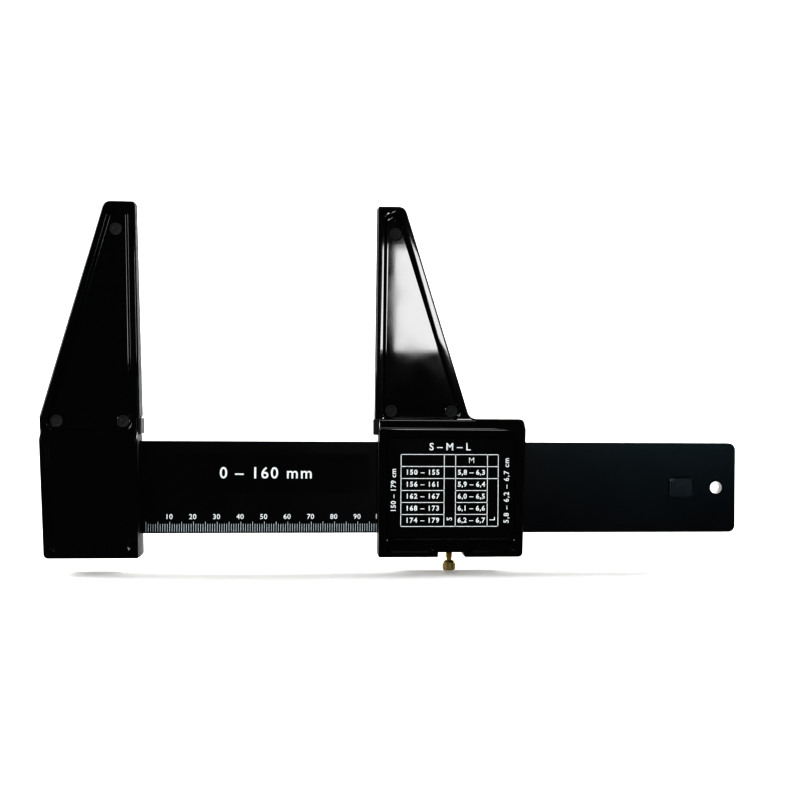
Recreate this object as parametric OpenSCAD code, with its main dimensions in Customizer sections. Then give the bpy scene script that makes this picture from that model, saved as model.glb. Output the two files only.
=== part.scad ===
// Sliding bone caliper: a beam with a fixed jaw, a sliding jaw and a lock screw.
// X runs along the beam, Z towards the jaw tips, and the printed front faces -Y.
// The origin is the middle of the fixed measuring face, halfway through the thickness.

/* [Beam] */
// Height of the beam, edge to edge
beam_h = 39.3; // [30:0.1:50]
// Thickness of the beam
beam_t = 5; // [4:0.5:7]
// Length of the beam past the fixed measuring face
beam_reach = 258.9; // [250:0.1:330]
// Length of the beam held inside the fixed body
beam_tail = 33; // [24:1:34]
// Radius of the corners at the free end of the beam
beam_end_r = 3; // [0.5:0.5:8]
// Radius of the hanging hole
hang_hole_r = 2.65; // [1.5:0.05:4]
// Distance from the free end of the beam to the hanging hole
hang_hole_inset = 8.6; // [6:0.1:9.5]

/* [Reading] */
// Gap between the measuring faces as the model stands
reading = 98.5; // [0.2:0.1:160]

/* [Jaws] */
// Height of the jaws above the bodies
jaw_len = 91.8; // [60:0.2:120]
// Width of the fixed jaw where it leaves its body
fixed_base_w = 42; // [34:0.1:44]
// Width of the fixed jaw at its tip
fixed_tip_w = 13.5; // [11:0.1:16]
// How far the gap edge of the fixed jaw leans back between the base and the tip
fixed_relief = 2.9; // [0:0.1:3]
// Width of the sliding jaw where it leaves its body
slider_base_w = 41.5; // [34:0.1:44]
// Width of the sliding jaw at its tip
slider_tip_w = 12.3; // [11:0.1:16]
// How far the gap edge of the sliding jaw leans back between the base and the tip
slider_relief = 0.6; // [0:0.1:3]
// Thickness of a jaw at its base
jaw_t_base = 11; // [9:0.2:13.5]
// Thickness of a jaw at its tip
jaw_t_tip = 7.3; // [6.5:0.1:9]
// Radius of the outer corner of a tip
tip_outer_r = 4; // [1:0.5:5]
// Radius of the gap-side corner of a tip
tip_inner_r = 1.5; // [0.5:0.5:3]

/* [Bodies] */
// Thickness of both bodies
body_t = 17; // [14:0.5:22]
// Height of the bodies above the beam
body_above = 10.2; // [9:0.1:14]
// Height of the bodies below the beam
body_below = 10.2; // [10:0.1:15]
// Width of the sliding body at its top edge
slider_w = 64; // [60:0.5:84]
// How far the outer side of the sliding body leans in towards the bottom
slider_lean = 1.2; // [0:0.1:2]
// How far the outer side of the fixed body leans in towards the bottom
fixed_lean = 2.8; // [0:0.1:3]
// Radius of the corners of the bodies
corner_r = 2.2; // [0.5:0.1:4]
// Radius of the inside corner where the sliding jaw meets its body
root_r = 4.5; // [1:0.5:6]
// How much lower the fixed body turns thick than the sliding one
fixed_step_drop = 5; // [0:0.5:5]

/* [Mouldings] */
// Width of the raised rim round each recessed face
rim_w = 3.6; // [3:0.1:4]
// Depth of the recess in the face of each jaw
web_recess = 1.3; // [0.6:0.1:1.6]
// Width of the land between each jaw's recess and the slope below it
recess_land = 0.6; // [0.4:0.1:2]
// Thickness of plastic between a jaw's recess and its hollow
web_t = 1.6; // [1.2:0.1:1.8]
// Depth of the recess in the face of the fixed body
body_recess = 1; // [0.5:0.1:2]
// Depth of the panel that holds a face plate
panel_depth = 0.8; // [0.6:0.1:1.2]
// Thickness of a face plate
plate_t = 0.6; // [0.3:0.1:0.8]
// Depth of the two pockets beside the lock block
side_pocket_depth = 2; // [1:0.5:3]
// Thickness of the walls in front of the hollows inside the bodies
body_wall = 2.4; // [1.6:0.1:3]

/* [Measuring faces] */
// Height of a measuring face
pad_h = 6.6; // [5:0.1:7]
// Gap between the top of the beam and a measuring face
pad_lift = 3.05; // [2:0.05:4]
// Distance from the reading edge to the face that it reads for
pad_stand = 2; // [1.6:0.1:3]
// How far a measuring face stands proud of its jaw's edge
pad_proud = 0.3; // [0.2:0.1:1]
// How far the side of the fixed body lies behind its measuring face
fixed_setback = 1; // [0.8:0.1:2]
// How much less that is at the bottom of the body
fixed_gap_lean = 1; // [0:0.1:1]
// Thickness of a measuring face across the jaws
pad_t = 10.6; // [8:0.2:10.8]
// Depth of the tongue that holds a measuring face
tongue_depth = 2.4; // [1.6:0.1:2.4]

/* [Lock screw] */
// Radius of the screw over its thread
lock_r = 1.5; // [1.2:0.1:1.8]
// Thread pitch
lock_pitch = 0.5; // [0.4:0.05:0.6]
// Radius of the knurled head
lock_head_r = 2.85; // [2:0.05:4]
// Height of the knurled head with its shoulder
lock_head_h = 4.3; // [3:0.1:8]
// Width of the notch that the head sits below
notch_w = 10.6; // [9:0.2:14]
// Depth of the notch
notch_depth = 2.05; // [1:0.05:2.5]
// Room between the open clamp pad and the beam
lock_travel = 0.85; // [0.4:0.05:1.1]
// Width of the square nut
nut_w = 5.5; // [5:0.1:6.5]
// Thickness of the square nut
nut_t = 1.8; // [1.4:0.1:2.2]
// Length of the clamp pad along the beam
clamp_l = 10; // [7:0.5:14]

/* [Guides] */
// Length of each guide shoe along the beam
shoe_l = 14; // [8:0.5:16]
// Width of the guide shoes across the beam
shoe_t = 9; // [8:0.2:10]
// How far the guide shoes reach over the edges of the beam
shoe_wrap = 2; // [1:0.1:3]
// Thickness of the guide shoes over the edge of the beam
shoe_cap = 3; // [2:0.1:3.2]
// Length of the friction shoe
drag_l = 14; // [10:0.5:18]
// Thickness of the friction shoe
drag_t = 1.9; // [1.2:0.1:2.2]
// Rise of the bowed leaf spring
spring_rise = 1.2; // [0.6:0.1:1.4]
// Thickness of the leaf spring
spring_t = 0.3; // [0.2:0.05:0.4]

/* [End stop] */
// Length of the end stop along the beam
stop_l = 11.4; // [8:0.2:16]
// Height of the end stop
stop_h = 9.9; // [6:0.1:16]
// How far each stop block stands off the beam
stop_proud = 1.8; // [1:0.1:3]
// Distance from the free end of the beam to the stop
stop_inset = 18.7; // [14:0.1:24]
// Radius of the corners of a stop block
stop_corner_r = 2; // [0.5:0.1:3]
// Thickness of plastic that hides the rivets in the front block
stop_skin = 0.5; // [0.3:0.1:0.8]

/* [Fasteners] */
// Radius of the head of a body screw
screw_head_r = 2.3; // [1.8:0.1:2.6]
// Height of the head of a body screw
screw_head_h = 1.5; // [1:0.1:1.6]
// Radius of the shank of a body screw
screw_r = 1.1; // [0.8:0.05:1.3]
// Radius of the bosses that the screws pull together
boss_r = 3.2; // [3:0.1:3.6]
// Radius of the pins that hold the beam
pin_r = 2; // [1.5:0.1:2.5]
// Distance that each pin reaches into a shell past the beam
pin_bite = 2.5; // [1.5:0.1:3]
// Radius of the rivets through the end stop
rivet_r = 1.2; // [0.8:0.1:1.6]

/* [Clearances] */
// Gap round pieces that are held still
seat_gap = 0.05; // [0.02:0.01:0.1]
// Gap between the beam and what slides on it
slide_gap = 0.06; // [0.04:0.01:0.1]
// Gap between the beam and the opening in the sliding body
window_gap = 0.35; // [0.3:0.05:0.6]
// Gap round a screw in a clearance hole
screw_gap = 0.15; // [0.1:0.05:0.3]
// Gap round the turning lock screw
turn_gap = 0.05; // [0.02:0.01:0.1]

/* [Hidden] */
$fn = 64;
// Steps in each rounded corner of an outline
ARC_STEPS = 8;
// Reach of a cut past the face that it opens
CUT = 1;
// Larger than the whole caliper, for cutting planes
FAR = 400;

// Heights from the middle of the beam
beam_top = beam_h / 2;
body_top = beam_top + body_above;
body_bottom = -beam_top - body_below;
jaw_top = body_top + jaw_len;
pad_mid = beam_top + pad_lift + pad_h / 2;
pad_top = pad_mid + pad_h / 2;
notch_top = body_bottom + notch_depth;

// Places along the beam
stop_x = beam_reach - stop_inset - stop_l;
hang_x = beam_reach - hang_hole_inset;
slider_x = reading + pad_stand;
slider_foot_w = slider_w - slider_lean;
lock_u = slider_foot_w / 2;
fixed_outer = -pad_proud - fixed_base_w;
fixed_foot = fixed_gap_lean - fixed_setback;

// The slope that joins each thin jaw to its thick body, from its foot up, and the edge above it
step_edge = 1;
step_depth = (body_t - jaw_t_base) / 2;
slider_step = body_top - step_edge - step_depth;
fixed_step = slider_step - fixed_step_drop;
// Height where the drawn outline of a jaw starts, so that its recess ends above the slope
fixed_root = fixed_step + step_depth + recess_land - rim_w;
slider_root = slider_step + step_depth + recess_land - rim_w;
jaw_tilt = atan((jaw_t_base - jaw_t_tip) / 2 / jaw_len);
// Each jaw as its width at the base, its width at the tip and the lean of its gap edge
BASE = 0;
TIP = 1;
LEAN = 2;
fixed_jaw = [fixed_base_w, fixed_tip_w, fixed_relief];
slider_jaw = [slider_base_w, slider_tip_w, slider_relief];

// Panel that holds a face plate, just taller than the beam
panel_margin = 4;
panel_over = 1.7;
panel_h = beam_h + 2 * panel_over;
panel_w = slider_foot_w - 2 * panel_margin;

// Pockets beside the block that holds the lock screw, with the walls below and above them
lock_block_w = 15.4;
pocket_sill = 2.2;
pocket_lintel = 1.8;
side_pocket_z = body_bottom + pocket_sill;
side_pocket_top = -panel_h / 2 - pocket_lintel;
side_pocket_r = 2;

// Corner radii that both sides share
gap_corner_r = 1;
shoulder_r = 2;
recess_root_r = 2;
recess_tip_r = 3;
recess_edge_r = 1.5;

// Screw places, as distance from an edge and height
boss_clear = 0.4;
boss_inset = rim_w + boss_r + boss_clear;
tip_boss_drop = 12;
low_boss_drop = 0.2;
tip_boss_z = jaw_top - tip_boss_drop;
slider_boss_z = slider_root + boss_inset;
fixed_boss_z = fixed_root + boss_inset;
low_boss_z = (body_bottom + side_pocket_top) / 2 - low_boss_drop;

// Depth of a screw head below its face, cover in front of its end, and the room left there
head_sink = 0.3;
jaw_cover = 0.8;
body_cover = 3;
screw_end_gap = 0.2;

// Lock parts, from the beam down
clamp_top = -beam_top - lock_travel;
clamp_t = 1.95;
clamp_bottom = clamp_top - clamp_t;
nut_roof = 1.45;
nut_top = clamp_bottom - nut_roof;
nut_bottom = nut_top - nut_t;
dog_step = 0.5;
dog_r = lock_r - dog_step;
dog_h = 1;
head_gap = 2;
head_top = body_bottom - head_gap;
shoulder_h = 0.8;
shoulder_lip = 0.4;
thread_l = clamp_bottom - turn_gap - head_top;
thread_turns = floor(thread_l / lock_pitch) - 2;
thread_depth = lock_pitch / 2;
groove_half = 0.4 * lock_pitch;

// Width of the ledges that hold the beam round each hollow
hollow_margin = 3;

// Width of the pieces that bear on the edges of the beam
edge_inset = 0.2;
edge_piece_w = beam_t - 2 * edge_inset;

// Guide shoes, from the ends of the sliding body
shoe_inset = 2;
shoe_lefts = [shoe_inset, slider_foot_w - shoe_inset - shoe_l];

// Drag parts, from the beam up
drag_foot = beam_top + slide_gap;
drag_top = drag_foot + drag_t;
spring_end_gap = 1;
spring_side_gap = 0.3;
spring_w = edge_piece_w - 2 * spring_side_gap;
spring_chord = drag_l - 2 * spring_end_gap;
spring_radius = (pow(spring_chord / 2, 2) + pow(spring_rise, 2)) / (2 * spring_rise);

// Outline helpers

function unit(v) = v / norm(v);
function inward(a, b) = let (d = unit(b - a)) [-d[1], d[0]];
function near(list, i) = list[(i + len(list)) % len(list)];

// Moves every edge of a counter-clockwise outline inwards by d
function inset(points, d) = [
    for (i = [0:len(points) - 1])
        let (
            here = points[i],
            n1 = inward(near(points, i - 1), here),
            n2 = inward(here, near(points, i + 1))
        )
        here + (n1 + n2) * d / (1 + n1 * n2)
];

// Points of one corner, rounded to radius r
function corner(a, b, c, r) = r <= 0 ? [b] :
    let (
        u = unit(a - b),
        v = unit(c - b),
        half = acos(u * v) / 2,
        middle = b + unit(u + v) * r / sin(half),
        start = b + u * r / tan(half) - middle,
        finish = b + v * r / tan(half) - middle,
        from = atan2(start[1], start[0]),
        turn = (atan2(finish[1], finish[0]) - from + 540) % 360 - 180
    )
    [for (i = [0:ARC_STEPS]) middle + r * [cos(from + turn * i / ARC_STEPS), sin(from + turn * i / ARC_STEPS)]];

function rounded(points, radii) = [
    for (i = [0:len(points) - 1])
        each corner(near(points, i - 1), points[i], near(points, i + 1), radii[i])
];

// Outlines in the plane of the face, as x and height

// How far the outer side of a jaw leans in for each unit of height
function jaw_slope(jaw) = (jaw[BASE] - jaw[LEAN] - jaw[TIP]) / jaw_len;

// The thin part of a jaw from height root to its tip. Its gap edge is at x = edge, and side
// is 1 where the jaw lies to the right of that edge and -1 where it lies to the left.
// The outer side stands upright to body_top and leans in from there. Where the recess
// starts too high to hold the upright part, the leaning line is carried down to root.
function jaw_corners(jaw, edge, side, root) =
    let (
        upright = root + rim_w < body_top - 1,
        root_w = jaw[BASE] + (upright ? 0 : (body_top - root) * jaw_slope(jaw))
    ) [
        [edge, root],
        [edge + side * root_w, root],
        if (upright) [edge + side * jaw[BASE], body_top],
        [edge + side * (jaw[LEAN] + jaw[TIP]), jaw_top],
        [edge + side * jaw[LEAN], jaw_top]
    ];

// Corner radii of a recess with as many corners as its jaw
function recess_radii(corners) = [
    recess_root_r, recess_root_r, if (len(corners) == 5) 0, recess_tip_r, recess_edge_r
];

// The same list in counter-clockwise order for either side
function wound(list, side) = side > 0 ? list : [for (i = [len(list) - 1:-1:0]) list[i]];

fixed_edge = -pad_proud;
slider_edge = pad_proud - pad_stand;

// The fixed body with its jaw, counter-clockwise from the bottom gap-side corner
fixed_outline = rounded(
    [
        [fixed_foot, body_bottom],
        [-fixed_setback, pad_top - pad_h - seat_gap],
        [-fixed_setback, pad_top + seat_gap],
        [fixed_edge, pad_top + seat_gap],
        [fixed_edge - fixed_relief, jaw_top],
        [fixed_edge - fixed_relief - fixed_tip_w, jaw_top],
        [fixed_outer, body_top],
        [fixed_outer + fixed_lean, body_bottom]
    ],
    [gap_corner_r, 0, 0, 0, tip_inner_r, tip_outer_r, shoulder_r, corner_r]
);

slider_outline = rounded(
    [
        [0, body_bottom],
        [slider_foot_w, body_bottom],
        [slider_w, body_top],
        [slider_edge + slider_base_w, body_top],
        [slider_edge + slider_relief + slider_tip_w, jaw_top],
        [slider_edge + slider_relief, jaw_top],
        [slider_edge, pad_top + seat_gap],
        [0, pad_top + seat_gap]
    ],
    [gap_corner_r, corner_r, corner_r, root_r, tip_outer_r, tip_inner_r, 0, 0]
);

// The thick part of the fixed body, which has a recess of its own
fixed_body_face = [
    [fixed_outer + fixed_lean, body_bottom],
    [fixed_foot, body_bottom],
    [-fixed_setback, fixed_step + rim_w / 2],
    [fixed_outer, fixed_step + rim_w / 2]
];

// Places of the screws and how far their faces lie from the parting plane
JAW = 0;
BODY = 1;
POCKET = 2;
tip_share = tip_boss_drop / jaw_len;
function tip_boss_in(jaw) =
    jaw[LEAN] * (1 - tip_share) + (jaw[TIP] + (jaw[BASE] - jaw[TIP]) * tip_share) / 2;
fixed_bosses = [
    [fixed_edge - tip_boss_in(fixed_jaw), tip_boss_z, JAW],
    [fixed_edge - boss_inset, fixed_boss_z, JAW],
    [fixed_outer + boss_inset, fixed_boss_z, JAW],
    [-fixed_setback - boss_inset, low_boss_z, BODY],
    [fixed_outer + fixed_lean + boss_inset, low_boss_z, BODY]
];
slider_boss_u = slider_edge + slider_base_w - jaw_slope(slider_jaw) * (slider_boss_z - body_top) - boss_inset;
slider_bosses = [
    [slider_edge + tip_boss_in(slider_jaw), tip_boss_z, JAW],
    [slider_edge + boss_inset, slider_boss_z, JAW],
    [slider_boss_u, slider_boss_z, JAW],
    [boss_inset, low_boss_z, POCKET],
    [slider_foot_w - boss_inset, low_boss_z, POCKET]
];
function face_at(spot) =
    spot[2] == JAW ? jaw_t_base / 2 - (spot[1] - body_top) * tan(jaw_tilt) :
    spot[2] == BODY ? body_t / 2 : body_t / 2 - side_pocket_depth;
pin_spots = [[-17, -6], [-26, 8]];
rivet_spots = [stop_x + stop_l / 4, stop_x + stop_l * 3 / 4];

// Placing

// Heights are drawn from the middle of the beam, and the origin is the fixed measuring face
module on_datum() {
    translate([0, 0, -pad_mid]) children();
}

module on_slider() {
    on_datum() translate([slider_x, 0, 0]) children();
}

// Stands a flat outline up, from depth near to depth far behind the front of the caliper
module slab(near_y, far_y) {
    translate([0, far_y, 0]) rotate([90, 0, 0]) linear_extrude(far_y - near_y) children();
}

// A round bar along Y
module bar(x, z, r, near_y, far_y) {
    translate([x, far_y, z]) rotate([90, 0, 0]) cylinder(r = r, h = far_y - near_y);
}

// A block given by its two opposite corners
module block(low, high) {
    translate(low) cube(high - low);
}

// Everything in front of a jaw's face, once the face is moved back by depth
module before_jaw_face(depth) {
    translate([0, depth - jaw_t_base / 2, body_top]) rotate([-jaw_tilt, 0, 0])
        translate([-FAR / 2, -FAR, -FAR / 2]) cube([FAR, FAR, FAR]);
}

// Everything in front of the slope that rises from height foot
module before_step(foot) {
    translate([0, -body_t / 2, foot]) rotate([-45, 0, 0])
        translate([-FAR / 2, -FAR, 0]) cube([FAR, FAR, FAR]);
}

// The front half of a body with its jaw: thick up to height foot, then thin and tapered
module half_blank(foot) {
    difference() {
        slab(-body_t / 2, 0) children();
        intersection() {
            before_step(foot);
            before_jaw_face(0);
            slab(-body_t, CUT) translate([-FAR / 2, foot]) square([FAR, FAR]);
        }
    }
}

module boss_posts(spots, r) {
    for (spot = spots) bar(spot[0], spot[1], r, -body_t, CUT);
}

// The shallow recess in the face of a jaw, with the screw bosses left standing
module jaw_recess(corners, side, bosses) {
    difference() {
        intersection() {
            slab(-body_t, 0)
                polygon(rounded(inset(wound(corners, side), rim_w), wound(recess_radii(corners), side)));
            before_jaw_face(web_recess);
        }
        boss_posts(bosses, boss_r);
    }
}

// The hollow behind the recess, open at the parting plane
module jaw_hollow(corners, side, bosses) {
    difference() {
        slab(-body_t, CUT) polygon(inset(wound(corners, side), rim_w));
        before_jaw_face(web_recess + web_t);
        boss_posts(bosses, boss_r);
    }
}

// Holes in a front shell, closed at the face
module pilot_holes(spots) {
    for (spot = spots) bar(spot[0], spot[1], screw_r + seat_gap, -screw_reach(spot), CUT);
}

// Holes and head seats in a rear shell, drawn on the front side and mirrored with it
module screw_seats(spots) {
    for (spot = spots) {
        bar(spot[0], spot[1], screw_r + screw_gap, -body_t, CUT);
        bar(spot[0], spot[1], screw_head_r + screw_gap, -body_t, -seat_y(spot));
    }
}

// Depth of the shelf that a screw head rests on, and how far its hole goes into the front shell
function seat_y(spot) = face_at(spot) - screw_head_h - head_sink;
function screw_reach(spot) = face_at(spot) - (spot[2] == JAW ? web_recess + jaw_cover : body_cover);

module body_screws(spots) {
    for (spot = spots) {
        bar(spot[0], spot[1], screw_r, screw_end_gap - screw_reach(spot), seat_y(spot));
        screw_head(spot);
    }
}

// A pan head with a cross recess
module screw_head(spot) {
    slot_w = 0.5;
    slot_l = screw_head_r * 1.3;
    slot_deep = 0.8;
    back = seat_y(spot) + screw_head_h;
    difference() {
        bar(spot[0], spot[1], screw_head_r, seat_y(spot), back);
        translate([spot[0], back, spot[1]]) {
            cube([slot_w, slot_deep * 2, slot_l], center = true);
            cube([slot_l, slot_deep * 2, slot_w], center = true);
        }
    }
}

// A seat for the tongue of a measuring face, opening to side
module tongue_seat(x, side) {
    low = min(x, x - side * (tongue_depth + seat_gap));
    high = max(x, x - side * (tongue_depth + seat_gap));
    block(
        [low - (side < 0 ? CUT : 0), -pad_t / 4 - seat_gap, pad_mid - pad_h / 4 - seat_gap],
        [high + (side > 0 ? CUT : 0), CUT, pad_mid + pad_h / 4 + seat_gap]
    );
}

// A measuring face on its tongue: the face looks along side, with its seat at x
module face_pad(x, face_x, side) {
    block(
        [min(x, face_x), -pad_t / 2, pad_mid - pad_h / 2],
        [max(x, face_x), pad_t / 2, pad_mid + pad_h / 2]
    );
    block(
        [min(x, x - side * tongue_depth), -pad_t / 4, pad_mid - pad_h / 4],
        [max(x, x - side * tongue_depth), pad_t / 4, pad_mid + pad_h / 4]
    );
}

// Fixed side

module beam() {
    color("#20262c") on_datum() difference() {
        slab(-beam_t / 2, beam_t / 2) polygon(rounded(
            [
                [-beam_tail, -beam_top],
                [beam_reach, -beam_top],
                [beam_reach, beam_top],
                [-beam_tail, beam_top]
            ],
            [0, beam_end_r, beam_end_r, 0]
        ));
        bar(hang_x, 0, hang_hole_r, -beam_t, beam_t);
        for (spot = pin_spots) bar(spot[0], spot[1], pin_r + seat_gap, -beam_t, beam_t);
        for (x = rivet_spots) bar(x, 0, rivet_r + seat_gap, -beam_t, beam_t);
    }
}

// One half of the fixed body, drawn as the front one
module fixed_half() {
    corners = jaw_corners(fixed_jaw, fixed_edge, -1, fixed_root);
    hollow_y = body_t / 2 - body_recess - body_wall;
    difference() {
        half_blank(fixed_step) polygon(fixed_outline);
        jaw_recess(corners, -1, fixed_bosses);
        jaw_hollow(corners, -1, fixed_bosses);
        difference() {
            slab(-body_t, body_recess - body_t / 2)
                polygon(rounded(inset(fixed_body_face, rim_w), [for (i = [1:4]) recess_edge_r]));
            boss_posts(fixed_bosses, boss_r);
        }
        block(
            [-beam_tail - seat_gap, -beam_t / 2 - seat_gap, -beam_top - seat_gap],
            [CUT, CUT, beam_top + seat_gap]
        );
        // Hollow in front of the beam, round the bosses of the pins
        difference() {
            block(
                [hollow_margin - beam_tail, -hollow_y, hollow_margin - beam_top],
                [-fixed_setback - tongue_depth - hollow_margin, CUT, beam_top - hollow_margin]
            );
            boss_posts(pin_spots, pin_r + body_wall);
        }
        for (spot = pin_spots)
            bar(spot[0], spot[1], pin_r + seat_gap, -beam_t / 2 - pin_bite - seat_gap, CUT);
        tongue_seat(-fixed_setback, 1);
    }
}

module fixed_jaw_front() {
    color("#0b0c0e") on_datum() difference() {
        fixed_half();
        pilot_holes(fixed_bosses);
    }
}

module fixed_jaw_rear() {
    color("#0b0c0e") on_datum() mirror([0, 1, 0]) difference() {
        fixed_half();
        screw_seats(fixed_bosses);
    }
}

module fixed_face_pad() {
    color("#17191b") on_datum() face_pad(-fixed_setback, 0, 1);
}

module fixed_jaw_screws() {
    color("#3a3d40") on_datum() body_screws(fixed_bosses);
}

module beam_pins() {
    color("#a9adb1") on_datum() for (spot = pin_spots)
        bar(spot[0], spot[1], pin_r, -beam_t / 2 - pin_bite, beam_t / 2 + pin_bite);
}

// One block of the end stop, drawn on the front face of the beam, with rivet holes of this depth
module stop_block(hole_depth) {
    difference() {
        slab(-beam_t / 2 - stop_proud, -beam_t / 2) polygon(rounded(
            [
                [stop_x, -stop_h / 2],
                [stop_x + stop_l, -stop_h / 2],
                [stop_x + stop_l, stop_h / 2],
                [stop_x, stop_h / 2]
            ],
            [for (i = [1:4]) stop_corner_r]
        ));
        for (x = rivet_spots) bar(x, 0, rivet_r + seat_gap, -beam_t / 2 - hole_depth, 0);
    }
}

module end_stop_front() {
    color("#15181b") on_datum() stop_block(stop_proud - stop_skin);
}

module end_stop_rear() {
    color("#15181b") on_datum() mirror([0, 1, 0]) stop_block(stop_proud + CUT);
}

module end_stop_rivets() {
    depth = beam_t / 2 + stop_proud;
    color("#2a2d30") on_datum() for (x = rivet_spots)
        bar(x, 0, rivet_r, stop_skin + seat_gap - depth, depth);
}

// Sliding side, drawn from its reading edge

// Pocket of one guide shoe, up is 1 over the beam and -1 under it
module shoe_pocket(left, up) {
    near_z = up * (beam_top - shoe_wrap - seat_gap);
    far_z = up * (beam_top + slide_gap + shoe_cap + seat_gap);
    block(
        [left - seat_gap, -shoe_t / 2 - seat_gap, min(near_z, far_z)],
        [left + shoe_l + seat_gap, CUT, max(near_z, far_z)]
    );
}

// A long pocket with round ends in the face below the panel
module side_pocket(left, right) {
    slab(-body_t, side_pocket_depth - body_t / 2) polygon(rounded(
        [
            [left, side_pocket_z],
            [right, side_pocket_z],
            [right, side_pocket_top],
            [left, side_pocket_top]
        ],
        [for (i = [1:4]) side_pocket_r]
    ));
}

// One half of the sliding body, drawn as the front one
module slider_half() {
    corners = jaw_corners(slider_jaw, slider_edge, 1, slider_root);
    window = beam_top + window_gap;
    hollow_y = body_t / 2 - panel_depth - body_wall;
    difference() {
        half_blank(slider_step) polygon(slider_outline);
        jaw_recess(corners, 1, slider_bosses);
        jaw_hollow(corners, 1, slider_bosses);
        // Panel for a face plate
        block(
            [panel_margin, -body_t, -panel_h / 2],
            [panel_margin + panel_w, panel_depth - body_t / 2, panel_h / 2]
        );
        side_pocket(panel_margin, lock_u - lock_block_w / 2);
        side_pocket(lock_u + lock_block_w / 2, panel_margin + panel_w);
        // Way through for the beam
        block([-FAR, -beam_t / 2 - window_gap, -window], [FAR, CUT, window]);
        // Hollow between the guide shoes
        block(
            [shoe_lefts[0] + shoe_l + hollow_margin, -hollow_y, hollow_margin - beam_top],
            [shoe_lefts[1] - hollow_margin, CUT, beam_top - hollow_margin]
        );
        for (left = shoe_lefts, up = [-1, 1]) shoe_pocket(left, up);
        // Room for the friction shoe and its spring
        block(
            [lock_u - drag_l / 2 - seat_gap, -edge_piece_w / 2 - seat_gap, 0],
            [lock_u + drag_l / 2 + seat_gap, CUT, drag_top + spring_rise + spring_t + seat_gap]
        );
        // Room for the clamp pad, the nut and the screw
        block(
            [lock_u - clamp_l / 2 - turn_gap, -edge_piece_w / 2 - turn_gap, clamp_bottom - 2 * turn_gap],
            [lock_u + clamp_l / 2 + turn_gap, CUT, 0]
        );
        block(
            [lock_u - nut_w / 2 - seat_gap, -nut_w / 2 - seat_gap, nut_bottom - seat_gap],
            [lock_u + nut_w / 2 + seat_gap, CUT, nut_top + seat_gap]
        );
        translate([lock_u, 0, body_bottom - CUT]) cylinder(r = lock_r + screw_gap, h = -body_bottom);
        block(
            [lock_u - notch_w / 2, -body_t, body_bottom - CUT],
            [lock_u + notch_w / 2, CUT, notch_top]
        );
        tongue_seat(0, -1);
    }
}

module slider_front() {
    color("#0b0c0e") on_slider() difference() {
        slider_half();
        pilot_holes(slider_bosses);
    }
}

module slider_rear() {
    color("#0b0c0e") on_slider() mirror([0, 1, 0]) difference() {
        slider_half();
        screw_seats(slider_bosses);
    }
}

module slider_face_pad() {
    color("#17191b") on_slider() face_pad(0, -pad_stand, -1);
}

module slider_screws() {
    color("#3a3d40") on_slider() body_screws(slider_bosses);
}

// A plate that lies in a panel, drawn as the front one
module face_plate() {
    block(
        [panel_margin + seat_gap, panel_depth - plate_t - body_t / 2, seat_gap - panel_h / 2],
        [panel_margin + panel_w - seat_gap, panel_depth - body_t / 2, panel_h / 2 - seat_gap]
    );
}

module chart_plate() {
    color("#101214") on_slider() face_plate();
}

module rear_plate() {
    color("#101214") on_slider() mirror([0, 1, 0]) face_plate();
}

// A guide shoe: a block with a groove that runs over one edge of the beam
module guide_shoe(left, up) {
    near_z = up * (beam_top - shoe_wrap);
    far_z = up * (beam_top + slide_gap + shoe_cap);
    groove = up * (beam_top + slide_gap);
    color("#d9d6cc") on_slider() difference() {
        block(
            [left, -shoe_t / 2, min(near_z, far_z)],
            [left + shoe_l, shoe_t / 2, max(near_z, far_z)]
        );
        block(
            [left - CUT, -beam_t / 2 - slide_gap, min(0, groove)],
            [left + shoe_l + CUT, beam_t / 2 + slide_gap, max(0, groove)]
        );
    }
}

module upper_shoe_left() guide_shoe(shoe_lefts[0], 1);
module upper_shoe_right() guide_shoe(shoe_lefts[1], 1);
module lower_shoe_left() guide_shoe(shoe_lefts[0], -1);
module lower_shoe_right() guide_shoe(shoe_lefts[1], -1);

module friction_shoe() {
    color("#d9d6cc") on_slider() block(
        [lock_u - drag_l / 2, -edge_piece_w / 2, drag_foot],
        [lock_u + drag_l / 2, edge_piece_w / 2, drag_top]
    );
}

// A strip bowed upwards between the friction shoe and the roof of its pocket
module leaf_spring() {
    color("#8d9297") on_slider() translate([lock_u, 0, drag_top + spring_rise - spring_radius])
        intersection() {
            rotate([90, 0, 0]) difference() {
                cylinder(r = spring_radius + spring_t, h = spring_w, center = true, $fn = 256);
                cylinder(r = spring_radius, h = spring_w + CUT, center = true, $fn = 256);
            }
            translate([-spring_chord / 2, -spring_w, spring_radius - spring_rise])
                cube([spring_chord, 2 * spring_w, 2 * spring_rise + spring_t]);
        }
}

module lock_nut() {
    color("#c79a3e") on_slider() difference() {
        block(
            [lock_u - nut_w / 2, -nut_w / 2, nut_bottom],
            [lock_u + nut_w / 2, nut_w / 2, nut_top]
        );
        translate([lock_u, 0, nut_bottom - CUT]) cylinder(r = lock_r + turn_gap, h = nut_t + 2 * CUT);
    }
}

module clamp_pad() {
    color("#c79a3e") on_slider() difference() {
        block(
            [lock_u - clamp_l / 2, -edge_piece_w / 2, clamp_bottom],
            [lock_u + clamp_l / 2, edge_piece_w / 2, clamp_top]
        );
        translate([lock_u, 0, clamp_bottom - CUT]) cylinder(r = dog_r + turn_gap, h = dog_h + turn_gap + CUT);
    }
}

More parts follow.
